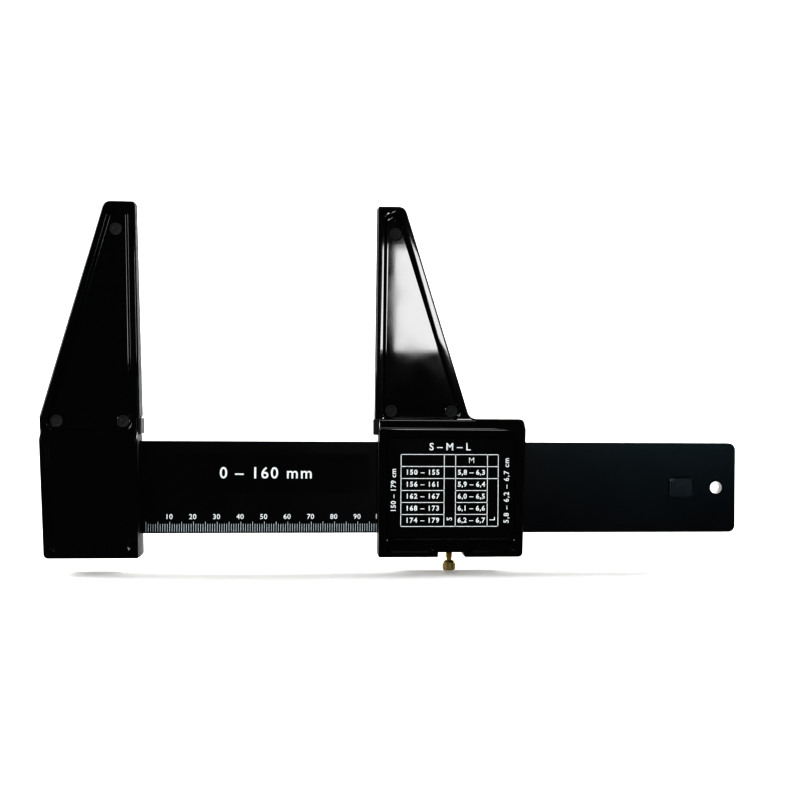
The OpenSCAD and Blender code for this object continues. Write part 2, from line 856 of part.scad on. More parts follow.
module lock_screw() {
    color("#c79a3e") on_slider() translate([lock_u, 0, 0]) {
        // Ring grooves stand in for the helical thread
        translate([0, 0, head_top]) rotate_extrude() polygon([
            [0, -CUT],
            [lock_r, -CUT],
            for (i = [1:thread_turns]) each [
                [lock_r, i * lock_pitch - groove_half],
                [lock_r - thread_depth, i * lock_pitch],
                [lock_r, i * lock_pitch + groove_half]
            ],
            [lock_r, thread_l],
            [0, thread_l]
        ]);
        translate([0, 0, clamp_bottom - CUT]) cylinder(r = dog_r, h = dog_h + CUT);
        translate([0, 0, head_top - shoulder_h])
            cylinder(r1 = lock_head_r, r2 = lock_r + shoulder_lip, h = shoulder_h);
        translate([0, 0, head_top - lock_head_h])
            cylinder(r = lock_head_r, h = lock_head_h - shoulder_h);
    }
}

beam();
fixed_jaw_front();
fixed_jaw_rear();
fixed_face_pad();
fixed_jaw_screws();
beam_pins();
end_stop_front();
end_stop_rear();
end_stop_rivets();
slider_front();
slider_rear();
slider_face_pad();
slider_screws();
chart_plate();
rear_plate();
upper_shoe_left();
upper_shoe_right();
lower_shoe_left();
lower_shoe_right();
friction_shoe();
leaf_spring();
lock_nut();
clamp_pad();
lock_screw();
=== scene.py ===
"""Looks of a sliding bone caliper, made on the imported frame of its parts.

The frame is in metres: X runs along the beam, Z towards the jaw tips, and the printed front
faces -Y. Sizes are written in millimetres and turned to metres by mm().
"""
import logging
import math
from dataclasses import dataclass, field
from enum import Enum
from typing import Callable, Sequence

import bmesh
import bpy
import numpy as np
from mathutils import Matrix, Vector
from mathutils.geometry import delaunay_2d_cdt


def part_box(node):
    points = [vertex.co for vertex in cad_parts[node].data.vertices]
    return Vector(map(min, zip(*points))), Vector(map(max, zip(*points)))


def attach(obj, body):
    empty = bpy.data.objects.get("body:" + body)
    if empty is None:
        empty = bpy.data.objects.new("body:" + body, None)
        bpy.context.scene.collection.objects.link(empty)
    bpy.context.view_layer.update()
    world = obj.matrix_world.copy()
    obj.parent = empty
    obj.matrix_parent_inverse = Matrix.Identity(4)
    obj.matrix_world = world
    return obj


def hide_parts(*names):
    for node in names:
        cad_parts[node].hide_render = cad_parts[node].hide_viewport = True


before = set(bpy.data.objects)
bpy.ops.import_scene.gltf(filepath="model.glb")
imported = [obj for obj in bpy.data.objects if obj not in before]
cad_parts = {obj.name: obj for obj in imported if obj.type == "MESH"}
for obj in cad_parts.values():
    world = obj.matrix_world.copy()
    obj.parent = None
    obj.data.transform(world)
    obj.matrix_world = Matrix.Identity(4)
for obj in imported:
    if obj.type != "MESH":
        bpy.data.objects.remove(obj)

LOG = logging.getLogger("caliper")
MM_PER_M = 1000.0

Point = tuple[float, float]
Socket = bpy.types.NodeSocket


def mm(value: float) -> float:
    """Turns millimetres to metres."""
    return value / MM_PER_M


def linear(code: str) -> tuple[float, float, float, float]:
    """Turns an sRGB hex colour to the linear values that shaders take.

    Args:
        code: Six hex digits after a hash.

    Returns:
        Linear red, green and blue, and an alpha of 1.
    """
    parts = [int(code[i:i + 2], 16) / 255 for i in (1, 3, 5)]
    red, green, blue = (c / 12.92 if c <= 0.04045 else ((c + 0.055) / 1.055) ** 2.4 for c in parts)
    return red, green, blue, 1.0


def add_node(tree: bpy.types.NodeTree, kind: str, feeds: dict | None = None, **settings: object) -> bpy.types.Node:
    """Adds one node to a tree.

    Args:
        tree: The tree that gets the node.
        kind: Blender's name of the node's type.
        feeds: Input name or number to a constant, or to the output that feeds it.
        settings: The node's own properties.

    Returns:
        The new node.
    """
    node = tree.nodes.new(kind)
    for name, value in settings.items():
        setattr(node, name, value)
    for name, value in (feeds or {}).items():
        if isinstance(value, Socket):
            tree.links.new(value, node.inputs[name])
        else:
            node.inputs[name].default_value = value
    return node


class Side(Enum):
    """The side of the parting plane that a shell lies on, as the sign of Y."""

    FRONT = -1
    REAR = 1


# Finishes


NOISE_LOW, NOISE_HIGH = 0.3, 0.7  # a noise seldom leaves this range


@dataclass(frozen=True)
class Finish:
    """A surface: what it is made of, and the fine relief and wear that light finds on it.

    Attributes:
        name: Name of the material.
        colour: Base colour as sRGB hex.
        roughness: Mean roughness.
        roughness_spread: How far handling and moulding move the roughness either way.
        patch_mm: Size of the patches over which the roughness moves.
        grain_mm: Size of the finest relief.
        grain_height_mm: Height of the finest relief.
        wave_mm: Length of the slow waves of a moulded or rolled face.
        wave_height_mm: Height of those waves.
        metallic: 1 for a bare metal.
        ior: Index of refraction.
        tint: Second colour that the patches drift towards.
        tint_amount: How far they drift.
    """

    name: str
    colour: str
    roughness: float
    roughness_spread: float = 0.05
    patch_mm: float = 9.0
    grain_mm: float = 0.4
    grain_height_mm: float = 0.004
    wave_mm: float = 14.0
    wave_height_mm: float = 0.0
    metallic: float = 0.0
    ior: float = 1.5
    tint: str = "#000000"
    tint_amount: float = 0.0

    def material(self) -> bpy.types.Material:
        """Builds the material.

        Returns:
            The finished material, or the one already built under this name.
        """
        made = bpy.data.materials.get(self.name)
        if made:
            return made
        made = bpy.data.materials.new(self.name)
        made.use_nodes = True
        tree = made.node_tree
        tree.nodes.clear()
        place = add_node(tree, "ShaderNodeTexCoord").outputs["Object"]
        shader = add_node(tree, "ShaderNodeBsdfPrincipled")
        for socket, value in (("Base Color", linear(self.colour)), ("Roughness", self.roughness),
                              ("Metallic", self.metallic), ("IOR", self.ior)):
            shader.inputs[socket].default_value = value
        self.dress(tree, place, shader)
        add_node(tree, "ShaderNodeOutputMaterial", {"Surface": shader.outputs["BSDF"]})
        made.diffuse_color = linear(self.colour)
        return made

    def dress(self, tree: bpy.types.NodeTree, place: Socket, shader: bpy.types.Node) -> None:
        """Adds the patches, the waves and the grain to the shader.

        Args:
            tree: The material's tree.
            place: Object coordinates.
            shader: The surface shader.
        """
        patches = self.noise(tree, place, self.patch_mm, 3.0)
        if self.roughness_spread:
            low, high = max(self.roughness - self.roughness_spread, 0.02), self.roughness + self.roughness_spread
            tree.links.new(self.between(tree, patches, low, high), shader.inputs["Roughness"])
        if self.tint_amount:
            mix = add_node(tree, "ShaderNodeMix", {
                0: self.between(tree, patches, 0.0, self.tint_amount), 6: linear(self.colour), 7: linear(self.tint),
            }, data_type="RGBA")
            tree.links.new(mix.outputs[2], shader.inputs["Base Color"])
        tree.links.new(self.relief(tree, place), shader.inputs["Normal"])

    def relief(self, tree: bpy.types.NodeTree, place: Socket) -> Socket:
        """Makes the normal that the waves and the grain give.

        Args:
            tree: The material's tree.
            place: Object coordinates.

        Returns:
            The normal.
        """
        grain = add_node(tree, "ShaderNodeBump", {
            "Height": self.noise(tree, place, self.grain_mm, 2.0), "Distance": mm(self.grain_height_mm),
            "Strength": 1.0})
        if not self.wave_height_mm:
            return grain.outputs["Normal"]
        wave = add_node(tree, "ShaderNodeBump", {
            "Height": self.noise(tree, place, self.wave_mm, 1.0), "Distance": mm(self.wave_height_mm),
            "Strength": 1.0, "Normal": grain.outputs["Normal"]})
        return wave.outputs["Normal"]

    @staticmethod
    def noise(tree: bpy.types.NodeTree, place: Socket, size_mm: float, detail: float) -> Socket:
        """Makes a noise whose features are size_mm across.

        Args:
            tree: The material's tree.
            place: Coordinates in metres.
            size_mm: Size of a feature.
            detail: Octaves of finer noise.

        Returns:
            The noise, near 0.5 on average.
        """
        node = add_node(tree, "ShaderNodeTexNoise", {"Vector": place, "Scale": MM_PER_M / size_mm, "Detail": detail})
        return node.outputs["Fac"]

    @staticmethod
    def between(tree: bpy.types.NodeTree, value: Socket, low: float, high: float) -> Socket:
        """Spreads a noise over a range.

        Args:
            tree: The material's tree.
            value: The noise.
            low: What its dips become.
            high: What its peaks become.

        Returns:
            The spread value.
        """
        node = add_node(tree, "ShaderNodeMapRange", {
            "Value": value, "From Min": NOISE_LOW, "From Max": NOISE_HIGH, "To Min": low, "To Max": high})
        return node.outputs["Result"]


@dataclass(frozen=True)
class HandledPlastic(Finish):
    """Plastic that has been handled: hairline scratches run over it, mostly along one way.

    Attributes:
        scratch_mm: Mean distance between the scratches.
        scratch_depth_mm: Their depth, drawn deeper than the real few micrometres so that it shows.
        slant: How far they turn from the X axis, in radians.
        stretch: Their pattern's scale along them.
    """

    scratch_mm: float = 1.6
    scratch_depth_mm: float = 0.0015
    slant: float = 0.5
    stretch: float = 0.04

    def relief(self, tree: bpy.types.NodeTree, place: Socket) -> Socket:
        """Adds the scratches to the relief.

        Args:
            tree: The material's tree.
            place: Object coordinates.

        Returns:
            The normal.
        """
        along = add_node(tree, "ShaderNodeMapping", {
            "Vector": place, "Rotation": (0.0, self.slant, 0.0), "Scale": (self.stretch, 1.0, 1.0)})
        lines = self.noise(tree, along.outputs["Vector"], self.scratch_mm, 4.0)
        bump = add_node(tree, "ShaderNodeBump", {
            "Height": lines, "Distance": mm(self.scratch_depth_mm), "Strength": 1.0,
            "Normal": super().relief(tree, place)})
        return bump.outputs["Normal"]


@dataclass(frozen=True)
class BrushedMetal(Finish):
    """Metal with the lines that a belt or a lathe tool leaves.

    Attributes:
        line_mm: Distance between lines.
        line_depth_mm: Their depth.
        stretch: How much shorter the pattern is along X, Y and Z than across the lines.
    """

    line_mm: float = 0.35
    line_depth_mm: float = 0.004
    stretch: tuple[float, float, float] = (0.03, 1.0, 1.0)

    def relief(self, tree: bpy.types.NodeTree, place: Socket) -> Socket:
        """Adds the lines to the relief.

        Args:
            tree: The material's tree.
            place: Object coordinates.

        Returns:
            The normal.
        """
        along = add_node(tree, "ShaderNodeMapping", {"Vector": place, "Scale": self.stretch})
        bump = add_node(tree, "ShaderNodeBump", {
            "Height": self.noise(tree, along.outputs["Vector"], self.line_mm, 3.0),
            "Distance": mm(self.line_depth_mm), "Strength": 1.0, "Normal": super().relief(tree, place)})
        return bump.outputs["Normal"]


# Black ABS from a polished mould: deep black with sharp, slightly wavy reflections
GLOSS_ABS = HandledPlastic(
    "gloss_black_abs", "#040405", roughness=0.05, roughness_spread=0.02, patch_mm=16, grain_mm=0.7,
    grain_height_mm=0.0003, wave_mm=24, wave_height_mm=0.011, ior=1.54)
# The same plastic on the side walls, dragged dull as the part is drawn from the mould, and on the tops
# of the screw posts, where it sank as it cooled: grey where the polished faces are black
DRAWN_ABS = Finish(
    "drawn_black_abs", "#08090a", roughness=0.6, roughness_spread=0.06, patch_mm=7, grain_mm=0.3,
    grain_height_mm=0.006, ior=1.54)
# The same plastic faced flat where it measures: the cutter leaves it dull and a little paler
FACED_ABS = Finish("faced_black_abs", "#0b0c0e", roughness=0.62, grain_mm=0.3, grain_height_mm=0.006, ior=1.54)
# Black printed plate, glossy from its clear film
PLATE_FILM = HandledPlastic(
    "black_printed_film", "#040405", roughness=0.12, roughness_spread=0.03, patch_mm=20, grain_mm=0.5,
    grain_height_mm=0.0008, wave_mm=30, wave_height_mm=0.01, scratch_mm=2.2, ior=1.5)
# Aluminium bar, anodised blue-black: satin, with a soft cool sheen towards the free end
ANODISED_BAR = BrushedMetal(
    "anodised_blue_black_bar", "#030406", roughness=0.23, roughness_spread=0.03, patch_mm=24, grain_mm=0.3,
    grain_height_mm=0.003, wave_mm=40, wave_height_mm=0.006, ior=1.45, tint="#06080c", tint_amount=0.6,
    line_mm=0.5, line_depth_mm=0.002)
# The varnished field on the bar that carries the print: smoother than the bar round it
VARNISH = HandledPlastic(
    "clear_varnish_on_black", "#050506", roughness=0.16, roughness_spread=0.04, patch_mm=22, grain_mm=0.6,
    grain_height_mm=0.001, wave_mm=26, wave_height_mm=0.01, ior=1.5)
# Screen-printed white ink: flat, slightly uneven, a little grey at the thin places
WHITE_INK = Finish(
    "white_screen_ink", "#eef1f2", roughness=0.55, roughness_spread=0.08, patch_mm=1.2, grain_mm=0.15,
    grain_height_mm=0.006, tint="#c3cacd", tint_amount=0.5)
# The small marks are printed thinner, so they look greyer
THIN_INK = Finish(
    "thin_screen_ink", "#c9d3d8", roughness=0.6, roughness_spread=0.08, patch_mm=0.9, grain_mm=0.15,
    grain_height_mm=0.006, tint="#8e9ba3", tint_amount=0.7)
# Turned free-cutting brass, bright where the fingers polish it
TURNED_BRASS = BrushedMetal(
    "turned_brass", "#f0d597", roughness=0.31, roughness_spread=0.06, patch_mm=2.5, grain_mm=0.12,
    grain_height_mm=0.002, metallic=1.0, tint="#9a7c4c", tint_amount=0.2, line_mm=0.12, line_depth_mm=0.003,
    stretch=(1.0, 1.0, 6.0))
# Black-oxide steel screws: dark, oily sheen
BLACK_STEEL = BrushedMetal(
    "black_oxide_steel", "#2b2d30", roughness=0.33, roughness_spread=0.06, patch_mm=2, grain_mm=0.15,
    grain_height_mm=0.003, metallic=1.0, tint="#17181a", tint_amount=0.5, line_mm=0.2)
# Ground steel pins, bright and nearly smooth
GROUND_STEEL = BrushedMetal(
    "ground_steel", "#b9bcc0", roughness=0.2, grain_mm=0.1, grain_height_mm=0.002, metallic=1.0, line_mm=0.15)
# Tempered spring strip, straw to blue-grey
SPRING_STRIP = BrushedMetal(
    "tempered_spring_strip", "#7d8083", roughness=0.26, grain_mm=0.1, grain_height_mm=0.002, metallic=1.0,
    tint="#5c5f6b", tint_amount=0.5, line_mm=0.2)
# Milky acetal for the pieces that rub on the bar
ACETAL = Finish(
    "milky_acetal", "#d8d5cb", roughness=0.4, grain_mm=0.25, grain_height_mm=0.006, ior=1.48, tint="#c8c4b6",
    tint_amount=0.4)
# Black nylon, moulded with a fine spark texture
STOP_NYLON = Finish(
    "black_nylon", "#14191f", roughness=0.27, roughness_spread=0.05, patch_mm=6, grain_mm=0.35,
    grain_height_mm=0.008, ior=1.53)
# Plain pale studio floor
STUDIO = Finish(
    "pale_studio_paper", "#eeeeec", roughness=0.9, roughness_spread=0.02, patch_mm=300, grain_mm=2,
    grain_height_mm=0.01)


# Outlines


def unit(a: Point, b: Point) -> Point:
    """Gives the direction from one point to another."""
    length = math.dist(a, b)
    return (b[0] - a[0]) / length, (b[1] - a[1]) / length


@dataclass(frozen=True)
class Outline:
    """A counter-clockwise polygon with a radius at each corner, as x and height in millimetres.

    Attributes:
        corners: The sharp corners.
        radii: Radius of each corner.
    """

    corners: tuple[Point, ...]
    radii: tuple[float, ...]

    ARC_STEPS = 10
    SHALLOW = 0.2  # sine of a turn that stays sharp when the edges move outwards
    SHARP = 0.02  # a corner of less than this radius isn't rounded

    def turn(self, i: int) -> tuple[Point, Point, float]:
        """Describes one corner.

        Args:
            i: Number of the corner.

        Returns:
            The directions of the edges before and after it, and the sine of the turn between them.
        """
        count = len(self.corners)
        before = unit(self.corners[i - 1], self.corners[i])
        after = unit(self.corners[i], self.corners[(i + 1) % count])
        return before, after, before[0] * after[1] - before[1] * after[0]

    def moved_in(self, distance: float) -> "Outline":
        """Moves every edge inwards.

        Args:
            distance: How far; less than zero moves the edges outwards.

        Returns:
            The new outline, its arcs about the same centres.
        """
        corners, radii = [], []
        for i, (corner, radius) in enumerate(zip(self.corners, self.radii)):
            before, after, sine = self.turn(i)
            n1, n2 = (-before[1], before[0]), (-after[1], after[0])
            scale = distance / (1 + n1[0] * n2[0] + n1[1] * n2[1])
            corners.append((corner[0] + (n1[0] + n2[0]) * scale, corner[1] + (n1[1] + n2[1]) * scale))
            if abs(sine) < self.SHALLOW and not radius:
                radii.append(0.0)
            else:
                radii.append(max(radius - distance, 0.0) if sine > 0 else max(radius + distance, 0.0))
        return Outline(tuple(corners), tuple(radii))

    def points(self) -> list[Point]:
        """Rounds the corners.

        Returns:
            The points of the closed line.
        """
        line: list[Point] = []
        for i, (corner, radius) in enumerate(zip(self.corners, self.radii)):
            before, after, sine = self.turn(i)
            if radius < self.SHARP:
                line.append(corner)
                continue
            angle = math.atan2(sine, before[0] * after[0] + before[1] * after[1])
            reach = radius * math.tan(abs(angle) / 2)
            start = (corner[0] - before[0] * reach, corner[1] - before[1] * reach)
            side = math.copysign(1.0, angle)
            centre = (start[0] - before[1] * radius * side, start[1] + before[0] * radius * side)
            first = math.atan2(start[1] - centre[1], start[0] - centre[0])
            for step in range(self.ARC_STEPS + 1):
                a = first + angle * step / self.ARC_STEPS
                line.append((centre[0] + radius * math.cos(a), centre[1] + radius * math.sin(a)))
        return line


def disc(centre: Point, radius: float) -> list[Point]:
    """Gives the points of a circle.

    Args:
        centre: Its middle.
        radius: Its radius.

    Returns:
        The points of the closed line.
    """
    steps = 40
    return [(centre[0] + radius * math.cos(math.tau * i / steps), centre[1] + radius * math.sin(math.tau * i / steps))
            for i in range(steps)]


def depth_inside(points: np.ndarray, line: Sequence[Point]) -> np.ndarray:
    """Measures how far points lie inside a closed line.

    Args:
        points: Points as rows of x and height.
        line: The closed line.

    Returns:
        Distance to the line, positive inside and negative outside.
    """
    a = np.array(line)
    b = np.roll(a, -1, axis=0)
    edge = b - a
    rel = points[:, None, :] - a[None]
    share = np.clip((rel * edge).sum(-1) / (edge ** 2).sum(-1), 0, 1)
    gap = np.linalg.norm(rel - share[..., None] * edge[None], axis=-1).min(axis=1)
    above = (a[None, :, 1] > points[:, None, 1]) != (b[None, :, 1] > points[:, None, 1])
    with np.errstate(divide="ignore", invalid="ignore"):
        cross_x = a[None, :, 0] + (points[:, None, 1] - a[None, :, 1]) * edge[None, :, 0] / edge[None, :, 1]
    inside = (above & (points[:, None, 0] < cross_x)).sum(axis=1) % 2 == 1
    return np.where(inside, gap, -gap)


def smooth(share: np.ndarray) -> np.ndarray:
    """Eases from 0 to 1 with level ends."""
    t = np.clip(share, 0, 1)
    return t * t * (3 - 2 * t)


# Mouldings


CLEAR = 5.0  # how far a cutting shape or a crease reaches past the piece, in millimetres


@dataclass(frozen=True)
class Recess:
    """A sunk field with a sloping wall.

    Attributes:
        outline: Top edge of its wall.
        depth: How far its floor lies behind the face.
        wall: Width of the wall as seen from the front.
    """

    outline: Outline
    depth: float
    wall: float


@dataclass(frozen=True)
class Boss:
    """A round post that stands in a recess.

    Attributes:
        centre: Its place, as x and height.
        radius: Radius of its top.
        sunk: How far its top lies behind the face.
        floor: How far the floor round it lies behind the face.
        ring: Radius of the faint ring on its top, or zero.
    """

    centre: Point
    radius: float
    sunk: float
    floor: float
    ring: float = 0.0


@dataclass
class Moulding:
    """One shell: a face in relief over a closed block, parted at the middle plane.

    Attributes:
        outline: Outline of the block.
        face_at: Distance of the face from the parting plane at a height, for an array of heights.
        bevel: Radius of the rounded outer edge.
        recesses: Sunk fields.
        bosses: Posts in them.
        creases: Heights at which the face bends.
        draft: How far the side wall leans in between the parting line and the face.
        seam: Width of the small chamfer along the parting line.
    """

    outline: Outline
    face_at: Callable[[np.ndarray], np.ndarray]
    bevel: float
    recesses: list[Recess] = field(default_factory=list)
    bosses: list[Boss] = field(default_factory=list)
    creases: list[float] = field(default_factory=list)
    draft: float = 0.15
    seam: float = 0.12

    BEVEL_STEPS = 6
    WALL_STEPS = 7
    POST_LINES = (-0.25, 0.0, 0.15, 0.3)  # lines round a post, from the edge of its top
    POST_WALL = 0.3  # width of its wall
    RING_LINES = (-0.2, 0.0, 0.2)  # lines along its faint ring
    RING_HALF = 0.2  # half the ring's width
    RING_DEPTH = 0.09
    PROBE = 0.3  # length of the step that finds which side of the rim is outside

    def __post_init__(self) -> None:
        """Finds the outline of the face."""
        self.face_outline = self.outline.moved_in(self.draft)

    def rings(self) -> list[list[Point]]:
        """Gives every line that the relief follows.

        Returns:
            Closed lines: along the bevel, along the recess walls and round the bosses.
        """
        lines = []
        for k in range(self.BEVEL_STEPS + 1):
            turn = math.cos(k * math.pi / 2 / self.BEVEL_STEPS)
            lines.append(self.face_outline.moved_in(self.bevel * (1 - turn)).points())
        for recess in self.recesses:
            for k in range(self.WALL_STEPS + 1):
                lines.append(recess.outline.moved_in(recess.wall * k / self.WALL_STEPS).points())
        for boss in self.bosses:
            lines += [disc(boss.centre, boss.radius + d) for d in self.POST_LINES]
            if boss.ring:
                lines += [disc(boss.centre, boss.ring + d) for d in self.RING_LINES]
        return lines

    def relief(self, points: np.ndarray) -> np.ndarray:
        """Gives the distance of the face from the parting plane.

        Args:
            points: Points as rows of x and height.

        Returns:
            One distance for each point, in millimetres.
        """
        edge = np.clip(depth_inside(points, self.face_outline.points()), 0, self.bevel)
        height = self.face_at(points[:, 1]) - (self.bevel - np.sqrt(self.bevel ** 2 - (self.bevel - edge) ** 2))
        sunk = np.zeros(len(points))
        for recess in self.recesses:
            inside = depth_inside(points, recess.outline.points())
            sunk = np.maximum(sunk, recess.depth * smooth(inside / recess.wall))
        for boss in self.bosses:
            away = np.hypot(points[:, 0] - boss.centre[0], points[:, 1] - boss.centre[1])
            rise = 1 - smooth((away - boss.radius) / self.POST_WALL)
            top = boss.floor - (boss.floor - boss.sunk) * rise
            if boss.ring:
                top = top + self.RING_DEPTH * (1 - smooth(np.abs(away - boss.ring) / self.RING_HALF))
            sunk = np.where(away < boss.radius + self.POST_WALL, np.minimum(sunk, top), sunk)
        return height - sunk

    def build(self, name: str, side: Side) -> bpy.types.Object:
        """Builds the closed shell.

        Args:
            name: Name of the object.
            side: Side of the parting plane.

        Returns:
            The object, its place in its mesh.
        """
        verts: list[Point] = []
        edges: list[tuple[int, int]] = []
        for line in self.rings():
            first, count = len(verts), len(line)
            verts += line
            edges += [(first + i, first + (i + 1) % count) for i in range(count)]
        xs = [p[0] for p in self.outline.corners]
        for height in self.creases:
            edges.append((len(verts), len(verts) + 1))
            verts += [(min(xs) - CLEAR, height), (max(xs) + CLEAR, height)]
        flat, _, faces, *_ = delaunay_2d_cdt([Vector(p) for p in verts], edges, [], 1, 1e-5)
        spots = np.array([tuple(p) for p in flat])
        middle = np.array([[sum(spots[i][axis] for i in f) / 3 for axis in (0, 1)] for f in faces])
        kept = [f for f, deep in zip(faces, depth_inside(middle, self.face_outline.points())) if deep > -1e-4]
        heights = self.relief(spots)
        mesh = bmesh.new()
        made: dict[int, bmesh.types.BMVert] = {}
        for face in kept:
            for i in face:
                if i not in made:
                    made[i] = mesh.verts.new((mm(spots[i][0]), side.value * mm(heights[i]), mm(spots[i][1])))
            mesh.faces.new([made[i] for i in face])
        self.close(mesh, side)
        return as_object(name, mesh)

    def close(self, mesh: bmesh.types.BMesh, side: Side) -> None:
        """Adds the side wall, the seam chamfer and the back.

        Args:
            mesh: The open face.
            side: Side of the parting plane.
        """
        line = self.face_outline.moved_in(-0.01).points()
        rim = [e for e in mesh.edges if e.is_boundary]
        for depth, inward in ((self.seam, -self.draft), (0.0, self.seam)):
            grown = bmesh.ops.extrude_edge_only(mesh, edges=rim)["geom"]
            rim = [g for g in grown if isinstance(g, bmesh.types.BMEdge) and g.is_boundary]
            ways: dict[bmesh.types.BMVert, Vector] = {}
            for edge in rim:
                across = (edge.verts[1].co - edge.verts[0].co).cross(Vector((0, 1, 0))).normalized()
                middle = (edge.verts[0].co + edge.verts[1].co) / 2 + across * mm(self.PROBE)
                if depth_inside(np.array([[MM_PER_M * middle.x, MM_PER_M * middle.z]]), line)[0] < 0:
                    across.negate()
                for v in edge.verts:
                    ways[v] = ways.get(v, Vector()) + across
            for v, way in ways.items():
                v.co += way.normalized() * mm(inward)
                v.co.y = side.value * mm(depth)
        bmesh.ops.contextual_create(mesh, geom=rim)
        bmesh.ops.triangulate(mesh, faces=[f for f in mesh.faces if len(f.verts) > 4])
        bmesh.ops.recalc_face_normals(mesh, faces=mesh.faces)


# Objects


def as_object(name: str, mesh: bmesh.types.BMesh) -> bpy.types.Object:
    """Turns a bmesh to an object at the origin.

    Args:
        name: Name of the object.
        mesh: The mesh, which is freed.

    Returns:
        The object, linked to the scene.
    """
    data = bpy.data.meshes.new(name)
    mesh.to_mesh(data)
    mesh.free()
    made = bpy.data.objects.new(name, data)
    bpy.context.scene.collection.objects.link(made)
    return made


def report(made: bpy.types.Object) -> None:
    """Logs a finished piece."""
    LOG.info("%s: %d faces", made.name, len(made.data.polygons))


def discard(helper: bpy.types.Object) -> None:
    """Deletes a helper object and its mesh.

    Args:
        helper: The object.
    """
    data = helper.data
    bpy.data.objects.remove(helper)
    bpy.data.meshes.remove(data)


def baked(source: bpy.types.Object) -> bpy.types.Object:
    """Applies an object's modifiers.

    Args:
        source: The object, which keeps its name and loses its modifiers.

    Returns:
        The same object.
    """
    graph = bpy.context.evaluated_depsgraph_get()
    data = bpy.data.meshes.new_from_object(source.evaluated_get(graph), depsgraph=graph)
    source.modifiers.clear()
    old, source.data = source.data, data
    name = old.name
    bpy.data.meshes.remove(old)
    data.name = name
    return source


def cut(target: bpy.types.Object, tool: bmesh.types.BMesh) -> None:
    """Cuts one closed shape out of an object.

    Args:
        target: The object to cut.
        tool: The shape to take away.
    """
    bmesh.ops.recalc_face_normals(tool, faces=tool.faces)
    cutter = as_object("cutter", tool)
    step = target.modifiers.new("cut", "BOOLEAN")
    step.operation, step.solver, step.object = "DIFFERENCE", "EXACT", cutter
    baked(target)
    discard(cutter)


def block(low: Sequence[float], high: Sequence[float]) -> bmesh.types.BMesh:
    """Makes a block.

    Args:
        low: Its lowest corner, in millimetres.
        high: Its highest corner, in millimetres.

    Returns:
        The mesh.
    """
    mesh = bmesh.new()
    bmesh.ops.create_cube(mesh, size=1.0)
    for v in mesh.verts:
        v.co = Vector([mm(low[k] if v.co[k] < 0 else high[k]) for k in range(3)])
    return mesh


def rod(centre: Sequence[float], radius: float, length: float, axis: str, steps: int = 48) -> bmesh.types.BMesh:
    """Makes a closed cylinder.

    Args:
        centre: Its middle, in millimetres.
        radius: Its radius, in millimetres.
        length: Its length, in millimetres.
        axis: "Y" or "Z".
        steps: Sides of the circle.

    Returns:
        The mesh.
    """
    mesh = bmesh.new()
    turn = Matrix.Rotation(math.pi / 2, 4, "X") if axis == "Y" else Matrix.Identity(4)
    place = Matrix.Translation([mm(c) for c in centre]) @ turn
    bmesh.ops.create_cone(mesh, cap_ends=True, segments=steps, radius1=mm(radius), radius2=mm(radius),
                          depth=mm(length), matrix=place)
    return mesh


LEVEL_WEIGHT = 80  # how strongly a piece's broad faces rule its normals, of 100


def smooth_shade(target: bpy.types.Object, angle: float = 32.0) -> None:
    """Shades an object smooth up to an angle, with broad faces kept level.

    Args:
        target: The object.
        angle: Sharpest edge that is still smooth, in degrees.
    """
    mesh = bmesh.new()
    mesh.from_mesh(target.data)
    bmesh.ops.remove_doubles(mesh, verts=mesh.verts, dist=1e-7)
    bmesh.ops.recalc_face_normals(mesh, faces=mesh.faces)
    for face in mesh.faces:
        face.smooth = True
    for edge in mesh.edges:
        edge.smooth = edge.calc_face_angle(0) < math.radians(angle)
    mesh.to_mesh(target.data)
    mesh.free()
    step = target.modifiers.new("level", "WEIGHTED_NORMAL")
    step.keep_sharp, step.weight = True, LEVEL_WEIGHT
    baked(target)


def dress(target: bpy.types.Object, finish: Finish) -> None:
    """Gives an object one finish."""
    target.data.materials.clear()
    target.data.materials.append(finish.material())


# Sub-assemblies


BEND_STEPS = (-0.9, -0.6, -0.3, 0.0, 0.3, 0.6, 0.9)  # rows of points across a rounded bend, in millimetres


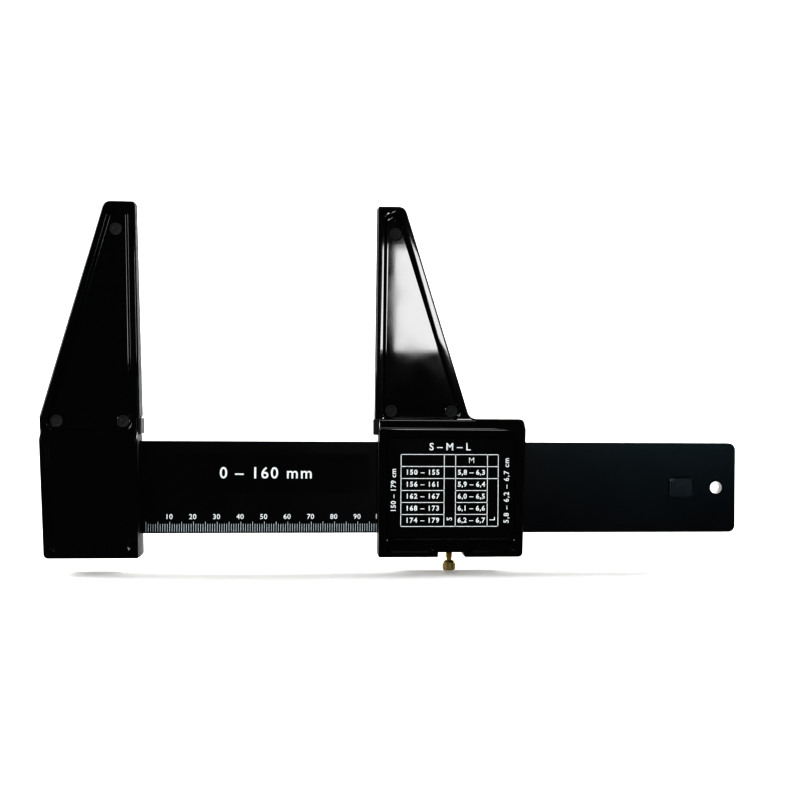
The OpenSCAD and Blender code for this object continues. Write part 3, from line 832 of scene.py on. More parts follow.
@dataclass(frozen=True)
class CaliperSizes:
    """Sizes that both sides share, in millimetres. Heights are from the middle of the beam.

    Attributes:
        middle: Height of the middle of the beam in the frame.
        beam_top: Top edge of the beam.
        body_top: Top of the bodies, where the jaws begin.
        body_bottom: Bottom of the bodies.
        jaw_top: Tips of the jaws.
        jaw_half_base: Half the thickness of a jaw at its root.
        jaw_half_tip: Half its thickness at the tip.
        body_half: Half the thickness of a body.
        slope_depth: How far a body slopes back at its top.
        blend: How far its bends are rounded.
        pad_top: Top of the blocks that carry the measuring faces.
        pad_low: Bottom of those blocks.
        rim: Width of the rim round a recess.
        web_wall: Width of a recess's wall.
        web_depth: Depth of a jaw's recess.
        body_depth: Depth of the fixed body's recess.
        pocket_depth: Depth of the sliding body's two pockets.
        edge_round: Radius of the outer edges.
        boss_side: Distance from a side to the screw posts near it.
        tip_boss_drop: Distance from the tip to the screw post below it.
        low_boss: Height of the lowest screws.
        root_rise: How far a recess's rim starts above the end of the slope.
        root_rim: Width of the rim below a jaw's recess.
    """

    middle: float = -26.0
    beam_top: float = 19.65
    body_top: float = 29.85
    body_bottom: float = -29.85
    jaw_top: float = 121.65
    jaw_half_base: float = 5.5
    jaw_half_tip: float = 3.65
    body_half: float = 8.5
    slope_depth: float = 3.0
    blend: float = 0.9
    pad_top: float = 29.35
    pad_low: float = 22.65
    rim: float = 3.1
    web_wall: float = 1.5
    web_depth: float = 1.3
    body_depth: float = 1.0
    pocket_depth: float = 2.0
    edge_round: float = 0.9
    boss_side: float = 7.2
    tip_boss_drop: float = 12.0
    low_boss: float = -26.7
    root_rise: float = 0.6
    root_rim: float = 3.6

    def face(self, foot: float) -> Callable[[np.ndarray], np.ndarray]:
        """Gives the shape of a face from the side.

        Args:
            foot: Height, from the middle of the beam, where the thick body starts to slope back.

        Returns:
            A function from heights in the frame to distances from the parting plane.
        """
        blend = self.blend
        lean = (self.jaw_half_base - self.jaw_half_tip) / (self.jaw_top - self.body_top)

        def distance(z: np.ndarray) -> np.ndarray:
            """Rounds the two bends between the body, the slope and the jaw.

            Args:
                z: Heights in the frame.

            Returns:
                One distance for each height.
            """
            height = z - self.middle
            slope = self.body_half - (height - foot)
            jaw = self.jaw_half_base - (height - self.body_top) * lean
            thick = np.minimum(self.body_half, slope) - np.maximum(
                blend - np.abs(self.body_half - slope), 0) ** 2 / (4 * blend)
            return np.maximum(thick, jaw) + np.maximum(blend - np.abs(thick - jaw), 0) ** 2 / (4 * blend)

        return distance

    def bends(self, foot: float) -> list[float]:
        """Gives the heights, in the frame, where the face bends."""
        return [self.middle + foot + start + step for start in (0.0, self.slope_depth) for step in BEND_STEPS]

    def root(self, foot: float) -> float:
        """Gives the height of the bottom of the rim below a jaw's recess."""
        return foot + self.slope_depth + self.root_rise - self.root_rim


SIZES = CaliperSizes()


@dataclass(frozen=True)
class JawSizes:
    """One jaw as seen from the front, in millimetres.

    Attributes:
        base: Width where it leaves its body.
        tip: Width at its tip.
        relief: How far its gap edge leans back between the two.
    """

    base: float
    tip: float
    relief: float

    def lean(self) -> float:
        """Gives how far the outer side leans in for each unit of height."""
        return (self.base - self.relief - self.tip) / (SIZES.jaw_top - SIZES.body_top)

    def tip_post(self) -> float:
        """Gives the distance from the foot of the gap edge to the screw post near the tip."""
        share = SIZES.tip_boss_drop / (SIZES.jaw_top - SIZES.body_top)
        return self.relief * (1 - share) + (self.tip + (self.base - self.tip) * share) / 2


FIXED_JAW = JawSizes(42.0, 13.5, 2.9)
SLIDER_JAW = JawSizes(41.5, 12.3, 0.6)
SLIDER_EDGE = -1.7  # X of the sliding jaw's gap edge, from its body's left side


@dataclass(frozen=True)
class ScrewSpot:
    """Where one closing screw goes through a shell.

    Attributes:
        x: Its place along the beam.
        z: Its height in the frame.
        floor: How far the field round it lies behind the face.
        front_post: True where its post shows at the front.
        rear_post: True where a post carries its head at the rear.
    """

    x: float
    z: float
    floor: float
    front_post: bool
    rear_post: bool


@dataclass
class Shells:
    """The two shells of one body with its jaw.

    Attributes:
        body: Body that they ride on.
        prefix: Start of the CAD nodes' names.
        outline: Their outline.
        foot: Height where the thick body starts to slope back.
        recesses: Sunk fields on both faces.
        spots: Screw places.
    """

    body: str
    prefix: str
    outline: Outline
    foot: float
    recesses: list[Recess]
    spots: list[ScrewSpot]

    HEAD_HOLE = 2.45  # radius of a hole for a screw head
    HEAD_SUNK = 1.8  # depth of that hole
    POST_RADIUS = 2.6
    POST_RISE = 0.3  # how far a post stands above the floor round it
    POST_RING = 1.3  # radius of the faint ring on its top
    REAR_POST_RADIUS = 3.0
    REAR_POST_SUNK = 0.05  # how far its top lies behind the rim
    WALL_TILT = 0.25  # faces whose normal leans forward less than this are side walls

    def make(self) -> None:
        """Builds, cuts and dresses both shells."""
        for side in Side:
            name = f"{self.prefix}_{side.name.lower()}"
            bosses = [self.boss(s, side) for s in self.spots if (s.front_post if side is Side.FRONT else s.rear_post)]
            shell = Moulding(self.outline, SIZES.face(self.foot), SIZES.edge_round, self.recesses, bosses,
                             SIZES.bends(self.foot)).build(f"{name}_moulding", side)
            for tool in self.tools(side):
                cut(shell, tool)
            smooth_shade(shell)
            dress(shell, GLOSS_ABS)
            shell.data.materials.append(DRAWN_ABS.material())
            for face in shell.data.polygons:
                face.material_index = int(abs(face.normal.y) < self.WALL_TILT
                                          or side is Side.FRONT and self.on_post(face, bosses))
            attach(shell, self.body)
            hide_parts(name)
            report(shell)

    @staticmethod
    def on_post(face: bpy.types.MeshPolygon, bosses: list[Boss]) -> bool:
        """Tells whether a face belongs to the top of a post."""
        spot = MM_PER_M * face.center
        return any(math.dist((spot.x, spot.z), boss.centre) < boss.radius for boss in bosses)

    def boss(self, spot: ScrewSpot, side: Side) -> Boss:
        """Makes one screw post: low at the front, level with the rim at the rear.

        Args:
            spot: The screw's place.
            side: The shell's side.

        Returns:
            The post.
        """
        if side is Side.FRONT:
            return Boss(
                (spot.x, spot.z), self.POST_RADIUS, spot.floor - self.POST_RISE, spot.floor, ring=self.POST_RING)
        return Boss((spot.x, spot.z), self.REAR_POST_RADIUS, self.REAR_POST_SUNK, spot.floor)

    def tools(self, side: Side) -> list[bmesh.types.BMesh]:
        """Gives the shapes to cut out of a shell.

        Args:
            side: The shell's side.

        Returns:
            Closed shapes.
        """
        if side is Side.FRONT:
            return []
        holes = []
        for spot in self.spots:
            face = float(SIZES.face(self.foot)(np.array([spot.z]))[0]) - (0.0 if spot.rear_post else spot.floor)
            holes.append(rod((spot.x, face - self.HEAD_SUNK + CLEAR, spot.z), self.HEAD_HOLE, 2 * CLEAR, "Y"))
        return holes


@dataclass
class FixedShells(Shells):
    """The fixed body and jaw.

    Attributes:
        beam_end: X of the beam's hidden end.
        beam_half: Half the beam's thickness.
        seat_gap: Room round the beam in its pocket.
    """

    beam_end: float = -33.0
    beam_half: float = 2.5
    seat_gap: float = 0.05

    def tools(self, side: Side) -> list[bmesh.types.BMesh]:
        """Adds the pocket that holds the beam.

        Args:
            side: The shell's side.

        Returns:
            Closed shapes.
        """
        half, reach = self.beam_half + self.seat_gap, SIZES.beam_top + self.seat_gap
        pocket = block((self.beam_end - self.seat_gap, -half, SIZES.middle - reach),
                       (CLEAR, half, SIZES.middle + reach))
        return [pocket] + super().tools(side)


@dataclass
class SliderShells(Shells):
    """The sliding body and jaw.

    Attributes:
        lock_x: Place of the lock screw along the beam.
        way_half: Half the thickness of the way through for the beam.
        way_reach: Half its height.
        pad_half: Half the length of the clamp pad's room.
        pad_depth: Half its thickness.
        pad_floor: Height of its bottom, from the middle of the beam.
        bore: Radius of the way through for the lock screw.
        bore_middle: Height of its middle, from the middle of the beam.
        bore_length: Its length.
        way_half_length: Half the length of the shape that cuts the way, longer than the body.
    """

    lock_x: float = 0.0
    way_half: float = 2.85
    way_reach: float = 20.0
    pad_half: float = 5.05
    pad_depth: float = 2.35
    pad_floor: float = -22.55
    bore: float = 1.65
    bore_middle: float = -26.0
    bore_length: float = 14.0
    way_half_length: float = 80.0

    def tools(self, side: Side) -> list[bmesh.types.BMesh]:
        """Adds the way through for the beam and the room for the lock.

        Args:
            side: The shell's side.

        Returns:
            Closed shapes.
        """
        x, z = self.lock_x, SIZES.middle
        way = block((x - self.way_half_length, -self.way_half, z - self.way_reach),
                    (x + self.way_half_length, self.way_half, z + self.way_reach))
        pad = block((x - self.pad_half, -self.pad_depth, z + self.pad_floor),
                    (x + self.pad_half, self.pad_depth, z - self.way_reach + 1))
        bore = rod((x, 0, z + self.bore_middle), self.bore, self.bore_length, "Z")
        return [way, pad, bore] + super().tools(side)


def jaw_recess(jaw: JawSizes, edge: float, side: int, root: float) -> Outline:
    """Gives the top edge of the recess in a jaw.

    Args:
        jaw: The jaw's sizes.
        edge: X of the jaw's gap edge at its root.
        side: 1 where the jaw lies to the right of that edge, -1 where it lies to the left.
        root: Height, from the middle of the beam, of the bottom of the rim below the recess.

    Returns:
        The outline.
    """
    s = SIZES
    upright = root + s.root_rim < s.body_top - 1
    root_w = jaw.base + (0 if upright else (s.body_top - root) * jaw.lean())
    corners = [(edge, root), (edge + side * root_w, root)]
    radii = [2.0, 2.0]
    if upright:
        corners.append((edge + side * jaw.base, s.body_top))
        radii.append(0.0)
    corners += [(edge + side * (jaw.relief + jaw.tip), s.jaw_top), (edge + side * jaw.relief, s.jaw_top)]
    radii += [3.0, 1.8]
    corners = [(x, z + s.middle) for x, z in corners]
    if side < 0:
        corners, radii = corners[::-1], radii[::-1]
    sharp = Outline(tuple(corners), tuple(0.0 for _ in corners)).moved_in(s.rim)
    return Outline(sharp.corners, tuple(r + s.web_wall if r else 0.0 for r in radii))


def lifted(points: Sequence[Point]) -> tuple[Point, ...]:
    """Turns heights from the middle of the beam to heights in the frame."""
    return tuple((x, z + SIZES.middle) for x, z in points)


def fixed_shells() -> FixedShells:
    """Lays out the fixed body and jaw.

    Returns:
        The shells, not yet built.
    """
    s, jaw = SIZES, FIXED_JAW
    edge, back, toe, outer, lean, foot = -0.3, -1.0, 0.0, -42.3, 2.8, 20.85
    outline = Outline(lifted([
        (toe, s.body_bottom), (back, s.pad_low), (back, s.pad_top), (edge - 0.05, s.pad_top + 1),
        (edge - jaw.relief, s.jaw_top), (edge - jaw.relief - jaw.tip, s.jaw_top), (outer, s.body_top),
        (outer + lean, s.body_bottom),
    ]), (1.0, 0.0, 0.0, 0.0, 1.5, 4.0, 2.0, 2.2))
    root = s.root(foot)
    field_top = foot + 1.8
    body = Outline(lifted([
        (outer + lean, s.body_bottom), (toe, s.body_bottom), (back, field_top), (outer, field_top),
    ]), (0.0,) * 4).moved_in(s.rim)
    tip_z = s.jaw_top - s.tip_boss_drop
    jaw_z = root + s.boss_side
    spots = [(edge - jaw.tip_post(), tip_z), (edge - s.boss_side, jaw_z), (outer + s.boss_side, jaw_z)]
    low = [(back - s.boss_side, s.low_boss), (outer + lean + s.boss_side, s.low_boss)]
    return FixedShells(
        "frame", "fixed_jaw", outline, foot,
        [Recess(jaw_recess(jaw, edge, -1, root), s.web_depth, s.web_wall),
         Recess(Outline(body.corners, (2.2,) * 4), s.body_depth, s.web_wall)],
        [ScrewSpot(x, z + s.middle, s.web_depth, True, True) for x, z in spots]
        + [ScrewSpot(x, z + s.middle, s.body_depth, False, True) for x, z in low])


def slider_shells(reading_edge: float) -> SliderShells:
    """Lays out the sliding body and jaw.

    Args:
        reading_edge: X of the body's left side.

    Returns:
        The shells, not yet built.
    """
    s, jaw, x0 = SIZES, SLIDER_JAW, reading_edge
    edge, width, lean, foot = SLIDER_EDGE, 64.0, 1.2, 25.85
    foot_w = width - lean
    lock, notch, notch_slant = foot_w / 2, 5.3, 0.9
    notch_top = s.body_bottom + 2.05
    outline = Outline(tuple((x + x0, z) for x, z in lifted([
        (0, s.body_bottom), (lock - notch, s.body_bottom), (lock - notch, notch_top), (lock + notch, notch_top),
        (lock + notch + notch_slant, s.body_bottom), (foot_w, s.body_bottom), (width, s.body_top),
        (edge + jaw.base, s.body_top), (edge + jaw.relief + jaw.tip, s.jaw_top),
        (edge + jaw.relief, s.jaw_top), (edge, s.pad_top), (0, s.pad_top),
    ])), (1.0, 0.4, 0.2, 0.2, 0.4, 2.2, 2.2, 4.5, 4.0, 1.5, 0.0, 0.0))
    root = s.root(foot)
    panel, panel_wall, panel_depth, side = 21.35, 0.45, 0.8, 4.0
    pocket_low, pocket_high, pocket_start = -27.65, -23.15, 7.5

    def box(left: float, right: float, low: float, high: float, radius: float) -> Outline:
        """Lays out a rounded box in the body's own places."""
        corners = lifted([(left, low), (right, low), (right, high), (left, high)])
        return Outline(tuple((x + x0, z) for x, z in corners), (radius,) * 4)

    pockets = [box(left, right, pocket_low - 0.2, pocket_high + 0.2, 2.2) for left, right in (
        (side - 0.2, lock - pocket_start), (lock + pocket_start, foot_w - side + 0.2))]
    tip_z = s.jaw_top - s.tip_boss_drop
    jaw_z = root + s.boss_side
    spots = [(edge + jaw.tip_post(), tip_z), (edge + s.boss_side, jaw_z),
             (edge + jaw.base - jaw.lean() * (jaw_z - s.body_top) - s.boss_side, jaw_z)]
    return SliderShells(
        "slider", "slider", outline, foot,
        [Recess(jaw_recess(jaw, edge + x0, 1, root), s.web_depth, s.web_wall),
         Recess(box(side - panel_wall, foot_w - side + panel_wall, -panel - panel_wall, panel + panel_wall, 0.5),
                panel_depth, 0.55)] + [Recess(pocket, s.pocket_depth, 0.9) for pocket in pockets],
        [ScrewSpot(x + x0, z + s.middle, s.web_depth, True, True) for x, z in spots]
        + [ScrewSpot(x + x0, s.low_boss + s.middle, s.pocket_depth, False, False)
           for x in (s.boss_side, foot_w - s.boss_side)],
        lock_x=x0 + lock)


@dataclass
class EndStop:
    """The two blocks of the end stop, rounded like moulded caps, and their rivets, in millimetres.

    Attributes:
        round_over: Radius of the outer edges.
        corner: Radius of the corners as seen from the front.
        skin: What the front block keeps over the rivets' ends.
        hole: Radius of the rivet holes.
        rivet_edge: Width of the small bevel round a rivet's ends.
    """

    round_over: float = 1.3
    corner: float = 2.0
    skin: float = 0.5
    hole: float = 1.25
    rivet_edge: float = 0.15

    def make(self) -> None:
        """Builds and dresses both blocks from the places of the CAD nodes."""
        pin_low, pin_high = (MM_PER_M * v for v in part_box("end_stop_rivets"))
        inset = (pin_high.z - pin_low.z) / 2
        for side in Side:
            node = f"end_stop_{side.name.lower()}"
            low, high = (MM_PER_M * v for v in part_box(node))
            outline = Outline(
                ((low.x, low.z), (high.x, low.z), (high.x, high.z), (low.x, high.z)), (self.corner,) * 4)
            top = max(abs(low.y), abs(high.y))
            cap = Moulding(outline, lambda z: np.full(len(z), top), self.round_over, seam=0.001)
            made = cap.build(f"{node}_cap", side)
            foot = min(abs(low.y), abs(high.y))
            cut(made, block((low.x - CLEAR, -foot, low.z - CLEAR), (high.x + CLEAR, foot, high.z + CLEAR)))
            skin = self.skin if side is Side.FRONT else -1.0
            for x in (pin_low.x + inset, pin_high.x - inset):
                cut(made, rod((x, 0, (pin_low.z + pin_high.z) / 2), self.hole, 2 * (top - skin), "Y", steps=32))
            smooth_shade(made)
            dress(made, STOP_NYLON)
            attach(made, "frame")
            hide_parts(node)
            report(made)
        self.rivets()

    def rivets(self) -> None:
        """Builds the two rivets, whose front ends the CAD keeps under the skin of the cap."""
        low, high = (MM_PER_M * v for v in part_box("end_stop_rivets"))
        radius = (high.z - low.z) / 2
        mesh = bmesh.new()
        for x in (low.x + radius, high.x - radius):
            pin = rod((x, (low.y + high.y) / 2, (low.z + high.z) / 2), radius, high.y - low.y, "Y", steps=32)
            bmesh.ops.bevel(pin, geom=[e for e in pin.edges if e.calc_face_angle(0) > 1],
                            offset=mm(self.rivet_edge), segments=2, affect="EDGES")
            data = bpy.data.meshes.new("rivet")
            pin.to_mesh(data)
            pin.free()
            mesh.from_mesh(data)
            bpy.data.meshes.remove(data)
        made = as_object("end_stop_rivet_pins", mesh)
        smooth_shade(made)
        dress(made, BLACK_STEEL)
        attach(made, "frame")
        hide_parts("end_stop_rivets")
        report(made)


@dataclass
class Print:
    """White print on a flat front face.

    Attributes:
        name: Name of the piece.
        face_y: Place of the printed face, in millimetres.
        film: Thickness of the ink, drawn thicker than the real one so that it clears the face.
    """

    name: str
    face_y: float
    film: float = 0.03

    CAPITAL = 0.7  # height of a capital as a share of the letter size

    def __post_init__(self) -> None:
        """Starts an empty sheet."""
        self.sheet = bmesh.new()

    def letter(self, words: str, x: float, z: float, height: float, turned: bool = False,
               spread: float = 1.0, bold: float = 0.0) -> None:
        """Prints a line of characters about its middle.

        Args:
            words: The characters.
            x: Place of their middle along the beam, in millimetres.
            z: Height of their middle, in millimetres.
            height: Height of a capital, in millimetres.
            turned: True for a line that reads upwards.
            spread: Spacing of the characters.
            bold: How much thicker the strokes are drawn, in millimetres.
        """
        curve = bpy.data.curves.new("letters", "FONT")
        curve.body, curve.align_x, curve.align_y = words, "CENTER", "CENTER"
        curve.size, curve.space_character = mm(height) / self.CAPITAL, spread
        curve.offset, curve.resolution_u = mm(bold), 3
        holder = bpy.data.objects.new("letters", curve)
        bpy.context.scene.collection.objects.link(holder)
        graph = bpy.context.evaluated_depsgraph_get()
        data = bpy.data.meshes.new_from_object(holder.evaluated_get(graph))
        face = Matrix.Translation((mm(x), mm(self.face_y - self.film), mm(z))) @ Matrix.Rotation(math.pi / 2, 4, "X")
        data.transform(face @ Matrix.Rotation(math.pi / 2 if turned else 0.0, 4, "Z"))
        self.sheet.from_mesh(data)
        bpy.data.objects.remove(holder)
        bpy.data.meshes.remove(data)
        bpy.data.curves.remove(curve)

    def bar(self, left: float, right: float, low: float, high: float) -> None:
        """Prints a filled bar.

        Args:
            left: X of its left edge, in millimetres.
            right: X of its right edge.
            low: Height of its lower edge.
            high: Height of its upper edge.
        """
        y = mm(self.face_y - self.film)
        corners = ((left, low), (right, low), (right, high), (left, high))
        self.sheet.faces.new([self.sheet.verts.new((mm(x), y, mm(z))) for x, z in corners])

    def line(self, x: float, z: float, x2: float, z2: float, width: float) -> None:
        """Prints a level or upright line.

        Args:
            x: X of its start.
            z: Height of its start.
            x2: X of its end.
            z2: Height of its end.
            width: Its width, in millimetres.
        """
        half = width / 2
        self.bar(min(x, x2) - half, max(x, x2) + half, min(z, z2) - half, max(z, z2) + half)

    def finish(self, body: str, finish: Finish, slot: str) -> None:
        """Turns the sheet to a piece.

        Args:
            body: Body that it rides on.
            finish: Its ink.
            slot: Not used.
        """
        for face in self.sheet.faces:
            face.normal_update()
            if face.normal.y > 0:
                face.normal_flip()
        made = as_object(self.name, self.sheet)
        dress(made, finish)
        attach(made, body)
        report(made)


@dataclass
class Scale:
    """The millimetre scale along the lower edge of the beam.

    Attributes:
        zero_x: Place of the zero mark, in millimetres.
        edge_z: Height of the beam's lower edge.
        face_y: Place of the beam's front face.
        last: Last mark, in millimetres.
        margin: Distance from the lower edge to the marks.
        short: Length of a millimetre mark.
        long: Length of a fifth mark.
        stroke: Width of a mark.
        number_height: Height of the numbers.
        number_rise: Distance from the lower edge to the middle of the numbers.
        number_shift: How far a number's middle lies left of its mark.
        number_bold: How much thicker the numbers' strokes are drawn.
    """

    zero_x: float
    edge_z: float
    face_y: float
    last: int = 160
    margin: float = 0.6
    short: float = 3.4
    long: float = 4.3
    stroke: float = 0.28
    number_height: float = 2.15
    number_rise: float = 6.95
    number_shift: float = 0.35
    number_bold: float = 0.06

    def make(self) -> None:
        """Prints the marks and the numbers."""
        self.marks()
        numbers = Print("scale_numbers", self.face_y)
        for value in range(10, self.last + 1, 10):
            numbers.letter(str(value), self.zero_x + value - self.number_shift, self.edge_z + self.number_rise,
                           self.number_height, bold=self.number_bold, spread=1.08)
        numbers.finish("frame", WHITE_INK, "beam_finish")

    def marks(self) -> None:
        """Prints the marks with a node tree: one bar, repeated along a line and stretched at each fifth."""
        tree, ports, given = new_tree("scale_marks", {
            "Count": "Int", "Pitch": "Float", "Short": "Float", "Long": "Float", "Stroke": "Float",
            "Start": "Vector"})
        step = add_node(tree, "ShaderNodeCombineXYZ", {"X": given["Pitch"]})
        row = add_node(tree, "GeometryNodeMeshLine", {
            "Count": given["Count"], "Start Location": given["Start"], "Offset": step.outputs[0]})
        bar = add_node(tree, "GeometryNodeMeshGrid", {
            "Size X": given["Stroke"], "Size Y": 1.0, "Vertices X": 2, "Vertices Y": 2})
        stood = add_node(tree, "GeometryNodeTransform", {
            "Geometry": bar.outputs["Mesh"], "Translation": (0.0, 0.0, 0.5), "Rotation": (math.pi / 2, 0.0, 0.0)})
        number = add_node(tree, "GeometryNodeInputIndex")
        rest = add_node(tree, "ShaderNodeMath", {0: number.outputs[0], 1: 5.0}, operation="MODULO")
        fifth = add_node(tree, "ShaderNodeMath", {0: rest.outputs[0], 1: 0.5}, operation="LESS_THAN")
        length = add_node(tree, "ShaderNodeMix", {0: fifth.outputs[0], 2: given["Short"], 3: given["Long"]})
        size = add_node(tree, "ShaderNodeCombineXYZ", {"X": 1.0, "Y": 1.0, "Z": length.outputs[0]})
        spread = add_node(tree, "GeometryNodeInstanceOnPoints", {
            "Points": row.outputs["Mesh"], "Instance": stood.outputs["Geometry"], "Scale": size.outputs[0]})
        close_tree(tree, spread.outputs["Instances"], THIN_INK)
        start = (mm(self.zero_x), mm(self.face_y - Print.film), mm(self.edge_z + self.margin))
        made = grown("scale_marks", tree, ports, {
            "Count": self.last + 1, "Pitch": mm(1), "Short": mm(self.short), "Long": mm(self.long),
            "Stroke": mm(self.stroke), "Start": start})
        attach(made, "frame")
        report(made)


def new_tree(name: str, inputs: dict[str, str]) -> tuple[bpy.types.NodeTree, dict, bpy.types.bpy_prop_collection]:
    """Starts a geometry tree with named inputs and one geometry output.

    Args:
        name: Name of the tree.
        inputs: Name of each input to the kind of its socket, without the common start.

    Returns:
        The tree, its inputs by name, and the sockets that give them inside the tree.
    """
    tree = bpy.data.node_groups.new(name, "GeometryNodeTree")
    ports = {label: tree.interface.new_socket(label, in_out="INPUT", socket_type=f"NodeSocket{kind}")
             for label, kind in inputs.items()}
    tree.interface.new_socket("Geometry", in_out="OUTPUT", socket_type="NodeSocketGeometry")
    return tree, ports, add_node(tree, "NodeGroupInput").outputs


def close_tree(tree: bpy.types.NodeTree, shape: Socket, finish: Finish) -> None:
    """Ends a geometry tree: makes the copies real, gives them their finish and puts them out.

    Args:
        tree: The tree.
        shape: What it has made so far.
        finish: The finish of the piece.
    """
    real = add_node(tree, "GeometryNodeRealizeInstances", {"Geometry": shape})
    dressed = add_node(tree, "GeometryNodeSetMaterial", {"Geometry": real.outputs["Geometry"]})
    dressed.inputs["Material"].default_value = finish.material()
    add_node(tree, "NodeGroupOutput", {"Geometry": dressed.outputs["Geometry"]})


def grown(name: str, tree: bpy.types.NodeTree, ports: dict, values: dict) -> bpy.types.Object:
    """Runs a geometry tree once and keeps its mesh.

    Args:
        name: Name of the piece.
        tree: The tree.
        ports: Its inputs by name.
        values: What each input gets.

    Returns:
        The piece, with no modifier left.
    """
    made = as_object(name, bmesh.new())
    step = made.modifiers.new("grow", "NODES")
    step.node_group = tree
    for label, value in values.items():
        step[ports[label].identifier] = value
    return baked(made)


@dataclass
class Chart:
    """The printed chart on the sliding body: a grid of plain numbers.

    Attributes:
        left: X of its left line.
        top: Height of its top line.
        face_y: Place of the plate's face.
        row: Height of a row.
        columns: Widths of the columns.
        stroke: Width of a line.
        first_length: First number of the left column, which rises by length_step in each row.
        length_step: That rise, one more than the span of a row.
        first_breadth: First number of the middle column, in tenths.
        breadth_span: Span of a row in the middle column, in tenths.
        heading_gap: From the top line up to the heading's middle, and from the bottom line to a side column's letter.
        left_gap: From the left line to the middle of the words beside it.
        right_gap: The same at the right.
    """

    left: float
    top: float
    face_y: float
    row: float = 5.15
    columns: tuple[float, float, float, float] = (18.6, 4.9, 13.8, 4.7)
    stroke: float = 0.36
    first_length: int = 150
    length_step: int = 6
    first_breadth: int = 58
    breadth_span: int = 5
    heading_gap: float = 3.2
    left_gap: float = 3.1
    right_gap: float = 3.7

    ROWS = 5  # rows of numbers below the row of headings
    DASH = " \u2013 "

    def make(self) -> None:
        """Prints the grid, the numbers and the units."""
        ink = Print("chart_print", self.face_y)
        edges = [self.left]
        for width in self.columns:
            edges.append(edges[-1] + width)
        last_row = self.ROWS + 1
        bottom = self.top - last_row * self.row
        for i in range(last_row + 1):
            z = self.top - i * self.row
            spans = [(0, 4)] if i in (0, 1, 2, last_row) else [(0, 1), (2, 3)]
            for first, last in spans:
                ink.line(edges[first], z, edges[last], z, self.stroke)
        for x in edges:
            ink.line(x, bottom, x, self.top, self.stroke)
        centre = [(edges[i] + edges[i + 1]) / 2 for i in range(4)]
        ink.letter("M", centre[2], self.top - self.row / 2, height=2.5)
        for i in range(self.ROWS):
            z = self.top - (i + 1.5) * self.row
            start = self.first_length + self.length_step * i
            lengths = self.DASH.join((str(start), str(start + self.length_step - 1)))
            ink.letter(lengths, centre[0], z, height=2.1, spread=1.2, bold=0.11)
            breadths = self.DASH.join(self.tenths(self.first_breadth + i + step) for step in (0, self.breadth_span))
            ink.letter(breadths, centre[2], z, height=2.1, spread=1.12, bold=0.11)
        for column, size in ((1, "S"), (3, "L")):
            ink.letter(size, centre[column], bottom + self.heading_gap, height=2.3, turned=True, bold=0.07)
        sizes, across = self.DASH.join("SML"), (edges[0] + edges[4]) / 2
        ink.letter(sizes, across, self.top + self.heading_gap, height=3.1, spread=1.05, bold=0.1)
        left, right, middle = edges[0] - self.left_gap, edges[4] + self.right_gap, (self.top + bottom) / 2
        ink.letter("150 \u2013 179 cm", left, middle, height=2.15, turned=True, spread=1.1, bold=0.08)
        ink.letter("5,8 \u2013 6,2 \u2013 6,7 cm", right, middle, height=2.2, turned=True, spread=1.2, bold=0.08)
        ink.finish("slider", WHITE_INK, "plate")

    @staticmethod
    def tenths(value: int) -> str:
        """Writes a number of tenths with a decimal comma."""
        return f"{value / 10:.1f}".replace(".", ",")


